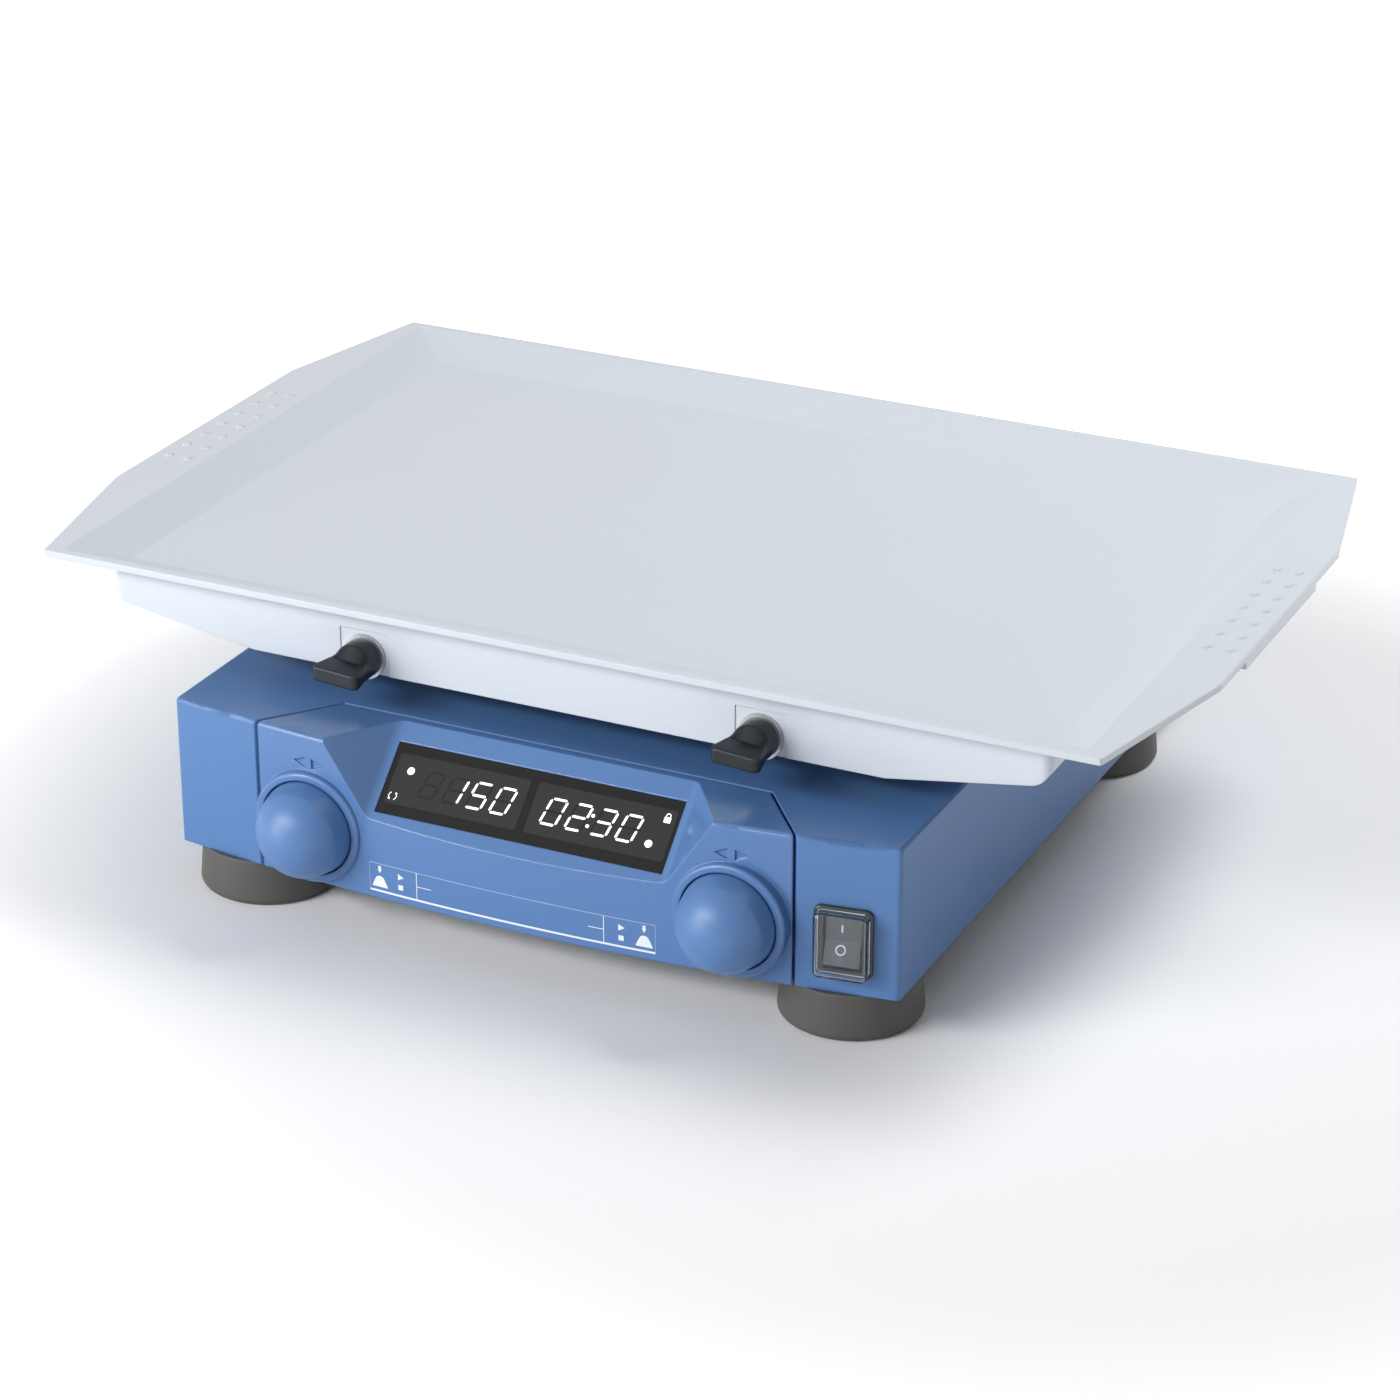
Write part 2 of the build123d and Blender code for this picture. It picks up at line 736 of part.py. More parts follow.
def grooved_profile(radius, play):
    """Half section of a pulley rim: flanges, and V grooves for the belt ribs."""
    flange = radius + belt_thickness
    low = (pulley_width - belt_width) / 2
    pitch = (belt_width - 1.2) / belt_ribs
    points = [(0, 0), (flange, 0), (flange, pulley_flange), (radius - play, pulley_flange)]
    for i in range(belt_ribs):
        start = low + 0.6 + i * pitch
        points += [(radius - play, start), (radius - play - belt_rib, start + pitch / 2)]
    points += [(radius - play, low + 0.6 + belt_ribs * pitch), (radius - play, pulley_width - pulley_flange)]
    points += [(flange, pulley_width - pulley_flange), (flange, pulley_width), (0, pulley_width)]
    return make_face(Polyline(*points, close=True))


def pulley(radius, bore, x):
    """Grooved belt pulley."""
    body = revolve(Plane.XZ.location * grooved_profile(radius, belt_play), Axis.Z)
    body -= upright(bore + seat_play, -1, pulley_width + 1)
    return Pos(x, drive_y, pulley_low) * body


def drive_pulley():
    """Large pulley with a web and six lightening holes."""
    body = pulley(big_pulley_radius, drive_journal_radius, 0)
    for i in range(6):
        spoke = Pos(0, drive_y, 0) * Rot(0, 0, 60 * i + 30) * upright(6.0, pulley_low - 1, pulley_low + 20, 18.0, 0)
        body -= spoke
    return body


def drive_belt():
    """Ribbed belt round both pulleys."""
    low = pulley_low + (pulley_width - belt_width) / 2
    lean = (big_pulley_radius - small_pulley_radius) / -motor_x
    rise = sqrt(1 - lean**2)
    big, small = big_pulley_radius, small_pulley_radius
    big_top, small_top = (-big * lean, big * rise), (motor_x - small * lean, small * rise)
    big_low, small_low = (big_top[0], -big_top[1]), (small_top[0], -small_top[1])
    path = Wire(
        Line(small_top, big_top).edges()
        + ThreePointArc(big_top, (big, 0), big_low).edges()
        + Line(big_low, small_low).edges()
        + ThreePointArc(small_low, (motor_x - small, 0), small_top).edges())
    pitch = (belt_width - 1.2) / belt_ribs
    points = [(0, 0), (0, 0.6)]
    for i in range(belt_ribs):
        start = 0.6 + i * pitch
        points += [(0, start), (-belt_rib + belt_play, start + pitch / 2)]
    points += [(0, belt_width - 0.6), (0, belt_width), (belt_thickness - 0.2, belt_width), (belt_thickness - 0.2, 0)]
    unique = [p for i, p in enumerate(points) if i == 0 or p != points[i - 1]]
    start = Vector(*small_top, 0)
    tangent = (Vector(*big_top, 0) - start).normalized()
    outward = Vector(-tangent.Y, tangent.X, 0)
    profile = Plane(origin=start, x_dir=outward, z_dir=outward.cross(Vector(0, 0, 1))).location * make_face(
        Polyline(*unique, close=True))
    return Pos(0, drive_y, low) * sweep(profile, path)


def counterweight():
    """Half disc opposite the crank pin, clamped on the shaft."""
    disc = upright(weight_radius, weight_low, weight_low + weight_thickness, 0, drive_y)
    disc -= block(-100, 100, drive_y + 4, drive_y + 100, 0, 100)
    disc += upright(drive_journal_radius + 5, weight_low, weight_low + weight_thickness, 0, drive_y)
    disc -= upright(drive_journal_radius + seat_play, 0, 100, 0, drive_y)
    for x in (-1, 1):
        disc -= upright(weight_screw_radius + seat_play, 0, 100, x * weight_screw_half_x, drive_y - weight_screw_y)
    return disc


def counterweight_screws():
    """Screws that join the counterweight to the pulley."""
    screws = []
    top = weight_low + weight_thickness
    y = drive_y - weight_screw_y
    for x in (-weight_screw_half_x, weight_screw_half_x):
        screws.append(upright(weight_screw_radius, weight_low + 0.5, top, x, y)
                      + upright(weight_screw_radius + 1.4, top, top + 1.6, x, y))
    return screws


def idler_crank(x, y):
    """Journal, flange and pin, the pin off the axis by the orbit throw."""
    low = idler_pillar_top + idler_flange_gap
    top = low + idler_flange_thickness
    crank = upright(idler_journal_radius, idler_shaft_low, low, x, y)
    crank += upright(idler_flange_radius, low, top, x, y)
    return crank + upright(idler_pin_radius, top, drive_pin_top, x, y + orbit_throw)


# Motor

def motor_body():
    """Can with a locating boss and a chamber for the rotor."""
    body = upright(motor_radius, motor_low, motor_top, motor_x, drive_y)
    body = fillet(body.edges().group_by(Axis.Z)[0], 3.0)
    body += upright(motor_boss_radius, motor_top, motor_top + bracket_thickness, motor_x, drive_y)
    body -= upright(motor_radius - motor_wall, motor_low + 3, motor_top - 3, motor_x, drive_y)
    return body - upright(motor_shaft_radius + running_play, motor_low + 1, 100, motor_x, drive_y)


def motor_rotor():
    """Rotor core on its shaft."""
    core = upright(motor_radius - motor_wall - 0.5, motor_low + 4, motor_top - 4, motor_x, drive_y)
    return core + upright(motor_shaft_radius, motor_low + 1.2, pulley_low + pulley_width, motor_x, drive_y)


def motor_bracket():
    """Plate on four legs that the motor hangs from."""
    low = motor_top
    plate = block(motor_x - bracket_half_x, motor_x + bracket_half_x, drive_y - bracket_half_y,
                  drive_y + bracket_half_y, low, low + bracket_thickness)
    plate = fillet(plate.edges().filter_by(Axis.Z), 5.0)
    for sx in (-1, 1):
        for sy in (-1, 1):
            x = motor_x + sx * (bracket_half_x - bracket_leg_radius - 0.5)
            y = drive_y + sy * (bracket_half_y - bracket_leg_radius - 0.5)
            plate += upright(bracket_leg_radius, floor_top, low, x, y)
    plate -= upright(motor_boss_radius + seat_play, low - 1, low + 10, motor_x, drive_y)
    plate -= upright(motor_radius + 0.5, floor_top - 1, low, motor_x, drive_y)
    for x, y in motor_screw_places():
        plate -= upright(screw_radius + 0.1, low - 1, low + 10, x, y)
    return plate


def motor_screw_places():
    """Four screws round the motor boss."""
    return [(motor_x + sx * 11.5, drive_y + sy * 11.5) for sx in (-1, 1) for sy in (-1, 1)]


def motor_screws():
    """Low-headed screws through the bracket into the motor."""
    top = motor_top + bracket_thickness
    return [upright(screw_radius, top - bracket_thickness, top, x, y)
            + upright(screw_head_radius - 0.6, top, top + 0.5, x, y) for x, y in motor_screw_places()]


def dust_seal():
    """Rubber ring that closes the drive opening round the crank pin."""
    ring = upright(drive_opening_radius - 0.02, housing_top - wall, housing_top + opening_rim + seal_height, 0, drive_y)
    inner = upright(seal_lip_radius, housing_top - 2 * wall, housing_top + 20, 0, drive_y)
    rim = upright(drive_opening_radius + opening_rim, housing_top + opening_rim,
                  housing_top + opening_rim + seal_height / 2, 0, drive_y)
    return ring + rim - inner


# Table

def table_plate():
    """Cast table: skin, rim, ribs, hub and bosses."""
    half_y = skirt_half_y - tray_sheet - table_play
    front, back = tray_centre_y - half_y, tray_centre_y + half_y
    solid = block(-table_half_x, table_half_x, front, back, table_rim_bottom, table_top)
    solid = fillet(solid.edges().filter_by(Axis.Z), 6.0)
    table = solid - block(-table_half_x + table_rim, table_half_x - table_rim, front + table_rim, back - table_rim,
                          0, table_top - table_skin)
    bosses = [upright(hub_radius, table_rim_bottom, table_top - 1, 0, tray_centre_y)]
    bosses += [upright(idler_boss_radius, idler_boss_bottom, table_top - 1, x, y + orbit_throw)
               for x, y in idler_places.values()]
    for x in (-clamp_half_x, clamp_half_x):
        for y0, y1 in ((front, front + clamp_boss_depth), (back - clamp_boss_depth, back)):
            bosses.append(block(x - clamp_boss_width / 2, x + clamp_boss_width / 2, y0, y1,
                                table_rim_bottom, table_top - 1))
    for x, y in idler_places.values():
        reach = Vector(x, y + orbit_throw - tray_centre_y, 0)
        rib = Box(reach.length, 4, 8, align=(Align.MIN, Align.CENTER, Align.MAX))
        turn = Vector(1, 0, 0).get_signed_angle(reach, Vector(0, 0, 1))
        bosses.append(Pos(0, tray_centre_y, table_top - 1) * Rot(0, 0, turn) * rib)
    table = table.fuse(*bosses)
    table -= upright(main_bearing_radius + seat_play, 0, crank_bearing_low + main_bearing_width, 0, tray_centre_y)
    table -= upright(drive_pin_radius + 2, 0, drive_pin_top + 1.5, 0, tray_centre_y)
    for x, y in idler_places.values():
        table -= upright(idler_pin_radius + idler_bush_wall + seat_play, 0, drive_pin_top + 1.5, x, y + orbit_throw)
    for x in (-clamp_half_x, clamp_half_x):
        table -= along_y(stud_radius + running_play, front - 1, front + clamp_boss_depth + 1, x, clamp_z)
        table -= along_y(stud_radius + seat_play, back - clamp_boss_depth + 2, back + 1, x, clamp_z)
    return table


def crank_bearing():
    """Bearing of the crank pin in the table hub."""
    return bearing(drive_pin_radius + running_play, main_bearing_radius, crank_bearing_low, main_bearing_width,
                   0, tray_centre_y)


def idler_bushes():
    """Plain bushes of the idler pins in the table."""
    return [upright(idler_pin_radius + idler_bush_wall, idler_boss_bottom, drive_pin_top, x, y + orbit_throw)
            - upright(idler_pin_radius + running_play, 0, 200, x, y + orbit_throw)
            for x, y in idler_places.values()]


def rear_locating_studs():
    """Headed studs that the tray's rear slots drop over."""
    back = tray_centre_y + skirt_half_y
    inner = back - tray_sheet - table_play - clamp_boss_depth + 2
    outer = back + clamp_gap
    return [along_y(stud_radius, inner, outer, x, clamp_z)
            + along_y(locating_head_radius, outer, outer + locating_head_thickness, x, clamp_z)
            for x in clamp_xs.values()]


# Tray

def frustum(low_x, low_y, low_z, high_x, high_y, high_z, radius):
    """Block with sloping walls between two rounded rectangles."""
    low = Pos(0, tray_centre_y, low_z) * RectangleRounded(2 * low_x, 2 * low_y, radius)
    high = Pos(0, tray_centre_y, high_z) * RectangleRounded(2 * high_x, 2 * high_y, radius)
    return loft([low, high], ruled=True)


def tray_skirt():
    """Wall under the tray, its lower edge rising to both sides."""
    outer = RectangleRounded(2 * skirt_half_x, 2 * skirt_half_y, skirt_corner_radius)
    inner = RectangleRounded(2 * (skirt_half_x - tray_sheet), 2 * (skirt_half_y - tray_sheet),
                             skirt_corner_radius - tray_sheet)
    ring = Pos(0, tray_centre_y, skirt_bottom) * extrude(outer - inner, tray_rim_z - 4.5 - skirt_bottom)
    low, high, over = skirt_bottom, skirt_end_bottom, tray_rim_z + 10
    profile = make_face(Polyline((-skirt_half_x, over), (-skirt_half_x, high), (-skirt_low_half_x, low),
                                 (skirt_low_half_x, low), (skirt_half_x, high), (skirt_half_x, over), close=True))
    profile = fillet(profile.vertices().sort_by(Axis.Y)[2:4], skirt_low_corner)
    reach = tray_centre_y + skirt_half_y + 10
    return ring & extrude(Plane.XZ.location * profile, -reach)


def tray():
    """Shallow tray with sloping walls, a flat lip and two grips."""
    right = [(tray_corner_half_x, -tray_half_y), (tray_grip_half_x, -tray_grip_half_y),
             (tray_grip_half_x, tray_grip_half_y), (tray_corner_half_x, tray_half_y)]
    left = [(-x, -y) for x, y in right]
    outline = make_face(Polyline(*right, *left, close=True))
    lip = Pos(0, tray_centre_y, tray_rim_z - tray_sheet) * extrude(outline, tray_sheet)
    lip = fillet(lip.edges().filter_by(Axis.Z), tray_corner_radius)
    lip = fillet(lip.edges().group_by(Axis.Z)[-1], tray_edge_radius)
    body = lip + frustum(tray_floor_half_x, tray_floor_half_y, tray_floor_z - tray_floor_thickness,
                         tray_fold_half_x, tray_fold_half_y, tray_rim_z - tray_floor_thickness, tray_fold_radius)
    body += tray_skirt()
    for side in (-1, 1):
        x = side * (tray_grip_half_x - tray_sheet / 2)
        hem = Pos(x, tray_centre_y, tray_rim_z - tray_sheet / 2) * Box(
            tray_sheet, 2 * grip_lip_half_y, grip_lip_depth, align=(Align.CENTER, Align.CENTER, Align.MAX))
        body += hem
        for row in (tray_grip_half_x - grip_dot_margin, tray_grip_half_x - grip_dot_margin - grip_dot_row_gap):
            for i in range(grip_dots):
                y = tray_centre_y + (i - (grip_dots - 1) / 2) * grip_dot_pitch
                body += Pos(side * row, y, tray_rim_z - 0.2) * Cone(
                    grip_dot_radius, grip_dot_radius * 0.55, grip_dot_height + 0.2,
                    align=(Align.CENTER, Align.CENTER, Align.MIN))
    rise = (tray_rim_z - tray_floor_z) * 1.2
    run_x = (tray_fold_half_x - tray_floor_half_x) * 1.2
    run_y = (tray_fold_half_y - tray_floor_half_y) * 1.2
    body -= frustum(tray_floor_half_x, tray_floor_half_y, tray_floor_z, tray_floor_half_x + run_x,
                    tray_floor_half_y + run_y, tray_floor_z + rise, tray_fold_radius - 1)
    back = tray_centre_y + skirt_half_y
    for x in clamp_xs.values():
        for y0, y1 in ((skirt_front - 2, skirt_front + 8), (back - 8, back + 2)):
            body -= along_y(clamp_slot_radius, y0, y1, x, clamp_z)
            body -= block(x - clamp_slot_radius, x + clamp_slot_radius, y0, y1, 0, clamp_z)
        body -= block(x - clamp_pad_half_x, x + clamp_pad_half_x, skirt_front - 2, skirt_front + clamp_pad_sink,
                      0, clamp_z + clamp_pad_half_x)
    return body


# Clamp screws

def clamp_washer(x):
    """Washer against the tray's skirt."""
    back = skirt_front + clamp_pad_sink - clamp_gap
    return (along_y(washer_radius, back - washer_thickness, back, x, clamp_z)
            - along_y(stud_radius + running_play, back - 10, back + 10, x, clamp_z))


def lever_back():
    """Depth of the lever's rear face."""
    return skirt_front + clamp_pad_sink - clamp_gap - washer_thickness - 0.1


def clamp_stud(x):
    """Threaded stud fixed in the lever."""
    front = lever_back() - stud_in_lever
    return along_y(stud_radius, front, front + stud_length, x, clamp_z)


def clamp_lever(x):
    """Thumb lever: round hub, neck and a flared flat blade."""
    hub = upright(lever_hub_radius, 0, lever_hub_length)
    neck_end = lever_hub_length + lever_neck_length
    neck = loft([Pos(0, 0, lever_hub_length) * Circle(lever_hub_radius),
                 Pos(0, 0, neck_end) * RectangleRounded(lever_blade_root, lever_blade_thickness, 1.2)])
    blade = make_face(Polyline((-lever_blade_root / 2, 0), (lever_blade_root / 2, 0),
                               (lever_blade_width / 2, lever_blade_length),
                               (-lever_blade_width / 2, lever_blade_length), close=True))
    blade = fillet(blade.vertices().sort_by(Axis.Y)[-2:], 2.2)
    half = lever_blade_thickness / 2
    plate = Pos(0, 0, neck_end) * extrude(Plane.XZ.location * Pos(0, 0, 0) * blade, half, both=True)
    plate = fillet(plate.faces().sort_by(Axis.Z)[-1].edges().filter_by(Axis.X), lever_edge_radius)
    lever = hub + neck + plate
    lever -= upright(stud_radius + seat_play, -1, stud_in_lever)
    return Pos(x, lever_back(), clamp_z) * Rot(0, lever_angle, 0) * Rot(90, 0, 0) * lever


# Rear connectors and supply board

def power_inlet():
    """Three-pin mains inlet, its shroud let into the rear wall."""
    flange = block(inlet_x - inlet_width / 2 - inlet_flange_margin, inlet_x + inlet_width / 2 + inlet_flange_margin,
                   rear_face - wall - inlet_flange, rear_face - wall, inlet_z - inlet_tall / 2 - inlet_flange_margin,
                   inlet_z + inlet_tall / 2 + inlet_flange_margin)
    body = block(inlet_x - inlet_width / 2, inlet_x + inlet_width / 2, rear_face - inlet_depth, rear_face,
                 inlet_z - inlet_tall / 2, inlet_z + inlet_tall / 2)
    well = block(inlet_x - inlet_width / 2 + 1.5, inlet_x + inlet_width / 2 - 1.5, rear_face - inlet_depth + 3,
                 rear_face + 1, inlet_z - inlet_tall / 2 + 1.5, inlet_z + inlet_tall / 2 - 1.5)
    body = flange + body - well
    for dx, dz in ((-7, -2), (7, -2), (0, 2)):
        body += block(inlet_x + dx - 1, inlet_x + dx + 1, rear_face - inlet_depth + 2, rear_face - 3,
                      inlet_z + dz - 2, inlet_z + dz + 2)
    return body


def serial_port():
    """Nine-pin data socket in the rear wall."""
    plate = block(port_x - port_plate_width / 2, port_x + port_plate_width / 2, rear_face - wall - 1.2,
                  rear_face - wall, port_z - port_plate_tall / 2, port_z + port_plate_tall / 2)
    half_w, half_t = port_width / 2, port_tall / 2
    section = make_face(Polyline((-half_w, half_t), (half_w, half_t), (half_w - 1.6, -half_t),
                                 (-half_w + 1.6, -half_t), close=True))
    section = fillet(section.vertices(), 1.8)
    nose = Pos(port_x, rear_face - wall - 1, port_z) * extrude(Plane.XZ.location * section, -wall - 1)
    back = block(port_x - half_w, port_x + half_w, rear_face - wall - 11, rear_face - wall - 1,
                 port_z - half_t, port_z + half_t)
    body = plate + nose + back
    for row, count in ((1.4, 5), (-1.4, 4)):
        for i in range(count):
            x = port_x + (i - (count - 1) / 2) * 2.76
            body -= along_y(0.55, rear_face - 5, rear_face + 1, x, port_z + row)
    return body


def power_supply_board():
    """Supply board on posts at the back of the base, with its large parts."""
    low = floor_top + supply_post
    board = block(-supply_half_x, supply_half_x, supply_front, supply_back, low, low + board_thickness)
    top = low + board_thickness
    board += block(-40, -12, supply_front + 2, supply_back - 2, top, top + 22)
    for x in (4, 22):
        board += upright(7.5, top, top + 20, x, (supply_front + supply_back) / 2)
    for i in range(5):
        board += block(36 + 4 * i, 38 + 4 * i, supply_front + 4, supply_back - 4, top, top + 18)
    for x in (-supply_half_x + 5, supply_half_x - 5):
        for y in (supply_front + 5, supply_back - 5):
            board += upright(3, floor_top, low, x, y)
    return board


def main():
    """Build every node and write it."""
    os.makedirs("parts", exist_ok=True)
    outer = housing_solid()
    nodes = {
        "housing_shell": housing_shell(outer, housing_inside()),
        "front_panel": front_panel(outer),
        "display_window": display_window(),
        "display_module": display_module(),
        "control_board": control_board(),
        "power_switch_frame": power_switch_frame(),
        "power_rocker": power_rocker(),
        "switch_splash_cover": switch_splash_cover(),
        "base_casting": base_casting(),
        "main_bearings": main_bearings(),
        "idler_bearings": idler_bearings(),
        "foot_screws": foot_screws(),
        "housing_screws": base_screws(housing_posts),
        "panel_screws": base_screws([(x, panel_post_y) for x in panel_post_xs]),
        "motor_body": motor_body(),
        "motor_bracket": motor_bracket(),
        "motor_screws": motor_screws(),
        "motor_rotor": motor_rotor(),
        "motor_pulley": pulley(small_pulley_radius, motor_shaft_radius, motor_x),
        "drive_belt": drive_belt(),
        "drive_shaft": drive_shaft(),
        "drive_pulley": drive_pulley(),
        "counterweight": counterweight(),
        "counterweight_screws": counterweight_screws(),
        "dust_seal": dust_seal(),
        "crank_bearing": crank_bearing(),
        "idler_bushes": idler_bushes(),
        "table_plate": table_plate(),
        "rear_locating_studs": rear_locating_studs(),
        "tray": tray(),
        "power_inlet": power_inlet(),
        "serial_port": serial_port(),
        "power_supply_board": power_supply_board(),
    }
    for side, x in knob_xs.items():
        nodes[f"knob_{side}"] = knob(x)
        nodes[f"encoder_{side}"] = encoder_body(x)
        nodes[f"encoder_shaft_{side}"] = encoder_shaft(x)
        nodes[f"encoder_plunger_{side}"] = encoder_plunger(x)
    for side, x in clamp_xs.items():
        nodes[f"clamp_washer_{side}"] = clamp_washer(x)
        nodes[f"clamp_stud_{side}"] = clamp_stud(x)
        nodes[f"clamp_lever_{side}"] = clamp_lever(x)
    for corner, (x, y) in foot_places.items():
        nodes[f"foot_{corner}"] = foot(x, y)
    for corner, (x, y) in idler_places.items():
        nodes[f"idler_crank_{corner}"] = idler_crank(x, y)
    for name, shape in nodes.items():
        save(name, shape)


main()
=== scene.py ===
import json
import math
import bpy
from mathutils import Matrix, Vector


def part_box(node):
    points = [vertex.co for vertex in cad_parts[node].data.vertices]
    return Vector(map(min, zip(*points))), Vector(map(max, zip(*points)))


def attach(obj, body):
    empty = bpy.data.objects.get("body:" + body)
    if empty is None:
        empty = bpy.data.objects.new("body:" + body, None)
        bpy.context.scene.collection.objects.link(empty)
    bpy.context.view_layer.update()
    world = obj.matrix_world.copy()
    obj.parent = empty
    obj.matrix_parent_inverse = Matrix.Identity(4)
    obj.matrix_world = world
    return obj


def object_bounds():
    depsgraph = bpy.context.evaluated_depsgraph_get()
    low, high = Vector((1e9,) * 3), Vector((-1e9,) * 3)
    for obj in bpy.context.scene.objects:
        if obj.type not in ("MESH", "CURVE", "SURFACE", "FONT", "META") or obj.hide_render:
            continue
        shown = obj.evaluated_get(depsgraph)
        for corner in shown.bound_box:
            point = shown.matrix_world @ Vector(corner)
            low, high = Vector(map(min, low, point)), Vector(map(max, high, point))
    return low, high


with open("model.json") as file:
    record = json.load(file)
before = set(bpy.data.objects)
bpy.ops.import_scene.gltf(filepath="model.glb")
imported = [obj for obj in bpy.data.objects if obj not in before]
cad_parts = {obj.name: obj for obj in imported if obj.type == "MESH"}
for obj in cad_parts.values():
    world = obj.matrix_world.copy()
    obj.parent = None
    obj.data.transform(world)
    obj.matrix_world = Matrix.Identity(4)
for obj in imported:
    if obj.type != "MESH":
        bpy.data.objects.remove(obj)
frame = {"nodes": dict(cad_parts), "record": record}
cad_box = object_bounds()
nodes = frame["nodes"]

# Lengths are millimetres where they carry MM, and metres elsewhere
MM = 0.001

# Radius over which the shading rounds the edges that the solids leave sharp
MOULDED_EDGE = 0.8 * MM
SHEET_EDGE = 0.5 * MM
EDGE_SAMPLES = 16

# Uneven colour and gloss: detail of the noise, and how much finer the gloss varies than the colour
TINT_DETAIL = 4.0
GLOSS_DETAIL = 3.0
GRAIN_DETAIL = 2.0
GLOSS_FINENESS = 4
COAT_ROUGHNESS = 0.12

# Turned or drawn metal: its uneven colour, and streaks that lower and raise its roughness
METAL_SPREAD = 0.08
METAL_PATCH = 60.0
STREAK_SCALE = 180.0
STREAK_STRETCH = (1, 1, 40)
STREAK_LOWER = 0.08
STREAK_RAISE = 0.1

# Sockets of the colour mix node, which has several of one name
MIX_FACTOR = 0
MIX_FROM = 6
MIX_TO = 7
MIX_RESULT = 2

# Printed legend on the bowed front, in x and z of the frame
LEGEND_X = -1.3 * MM
LEGEND_LOW = 19.6 * MM
LEGEND_HIGH = 29.8 * MM
LEGEND_MIDDLE = (LEGEND_LOW + LEGEND_HIGH) / 2
LEGEND_HALF = 53.6 * MM
LEGEND_DIVIDER = 35.1 * MM
LEGEND_DASH = 5.6 * MM
LEGEND_ICON = 49.6 * MM
LEGEND_MARK = 41.4 * MM
BASE_LINE_WIDTH = 0.75 * MM
LINE_WIDTH = 0.28 * MM
END_LINE_WIDTH = 0.168 * MM
END_LINE_RISE = 0.5 * MM
PRINT_LIFT = 0.05 * MM
PRINT_STEP = 1.5 * MM
SIGHT_START = 0.1

# Push icon: a dome on a flared foot under a downward arrow, with heights from the icon's own foot
ICON_RISE = 1.5 * MM
DOME_FOOT_HALF = 3.1 * MM
DOME_NECK_HALF = 2.6 * MM
DOME_NECK = 1.3 * MM
DOME_RADIUS = 1.9 * MM
DOME_CENTRE = 2.3 * MM
DOME_STEP = 20
PUSH_TIP = 5.2 * MM
PUSH_HEAD_HALF = 0.85 * MM
PUSH_HEAD_TOP = 6.7 * MM
PUSH_STEM_LOW = 6.6 * MM
PUSH_STEM_HIGH = 7.9 * MM
PUSH_STEM_WIDTH = 1.1 * MM

# Run marks: a start triangle above the legend's middle and a stop square below it
PLAY_BACK = 1.0 * MM
PLAY_TIP = 1.3 * MM
PLAY_GAP = 0.7 * MM
PLAY_HEIGHT = 2.4 * MM
STOP_HALF = 0.95 * MM
STOP_GAP = 1.0 * MM

# Display: places on the sloping pane, from its lower left corner
PANE_TILT = math.radians(44.0)
PANE_THICKNESS = 1.4 * MM
FIELD_LOW = 3.9 * MM
FIELD_HIGH = 22.1 * MM
FIELD_ENDS = ((1.8 * MM, 51.3 * MM), (54.4 * MM, 105.6 * MM))
FIELD_CORNER = 0.8 * MM
CORNER_STEPS = 4
FIELD_LIFT = 0.02 * MM
UNLIT_LIFT = 0.04 * MM
LIT_LIFT = 0.06 * MM
LAMP_RADIUS = 1.35 * MM
LAMP_PLACES = ((7.6 * MM, 16.4 * MM), (98.9 * MM, 9.1 * MM))
ROTATION_PLACE = (4.2 * MM, 6.6 * MM)
LOCK_PLACE = (102.6 * MM, 19.0 * MM)

# Digits: sizes before slanting, and each row's left end, pitch and text
DIGIT_WIDTH = 6.6 * MM
DIGIT_HEIGHT = 10.0 * MM
DIGIT_STROKE = 0.85 * MM
DIGIT_GAP = 0.32 * MM
DIGIT_SLANT = math.tan(math.radians(12.0))
DIGIT_LOW = 7.85 * MM
DIGIT_ROWS = ((12.3 * MM, 9.07 * MM, " 150"), (58.4 * MM, 9.29 * MM, "0230"))
SEGMENTS = {" ": "", "0": "abcdef", "1": "bc", "2": "abged", "3": "abgcd", "4": "fgbc", "5": "afgcd",
            "6": "afgedc", "7": "abc", "8": "abcdefg", "9": "abcdfg"}
COLON_X = 75.4 * MM
COLON_HEIGHTS = (2.7 * MM, 6.6 * MM)
COLON_RADIUS = 0.65 * MM

# Rotation icon: two arcs, where each starts and how far it goes in degrees, and its arrow head
ARC_RADIUS = 1.45 * MM
ARC_WIDTH = 0.24 * MM
ARC_STARTS = (-60, 120)
ARC_TURN = 95
ARC_HEAD_HALF = 0.45 * MM
ARC_HEAD_LENGTH = 0.7 * MM

# Padlock icon: the body below and above its place, and a bow on two legs that lap both
LOCK_HALF = 1.2 * MM
LOCK_BELOW = 1.7 * MM
LOCK_ABOVE = 0.3 * MM
LOCK_CORNER = 0.2 * MM
BOW_HEIGHT = 0.8 * MM
BOW_RADIUS = 0.75 * MM
BOW_WIDTH = 0.32 * MM
LEG_IN_BODY = 0.1 * MM
LEG_IN_BOW = 0.05 * MM
LEG_CORNER = 0.02 * MM

# Mains rocker: the bar above its middle and the ring below
BAR_LOW = 2.4 * MM
BAR_HIGH = 5.2 * MM
BAR_WIDTH = 0.5 * MM
RING_DROP = 3.4 * MM
RING_RADIUS = 1.5 * MM
RING_WIDTH = 0.42 * MM
ROCKER_LIFT = 0.04 * MM

# Floor, and the brightness that it adds for the camera from a near to a far distance round a centre
FLOOR_REACH = 6.0
FLOOR_GAP = 0.02 * MM
FLOOR_COLOUR = (0.93, 0.935, 0.945)
FLOOR_SPREAD = 0.01
FLOOR_PATCH = 3.0
FLOOR_ROUGHNESS = 0.9
FLOOR_SPECULAR = 0.1
FLOOR_GLOW = 0.95
FLOOR_GLOW_NEAR = 0.24
FLOOR_GLOW_FAR = 0.55
FLOOR_GLOW_CENTRE = (0.12, -0.02, 0.0)

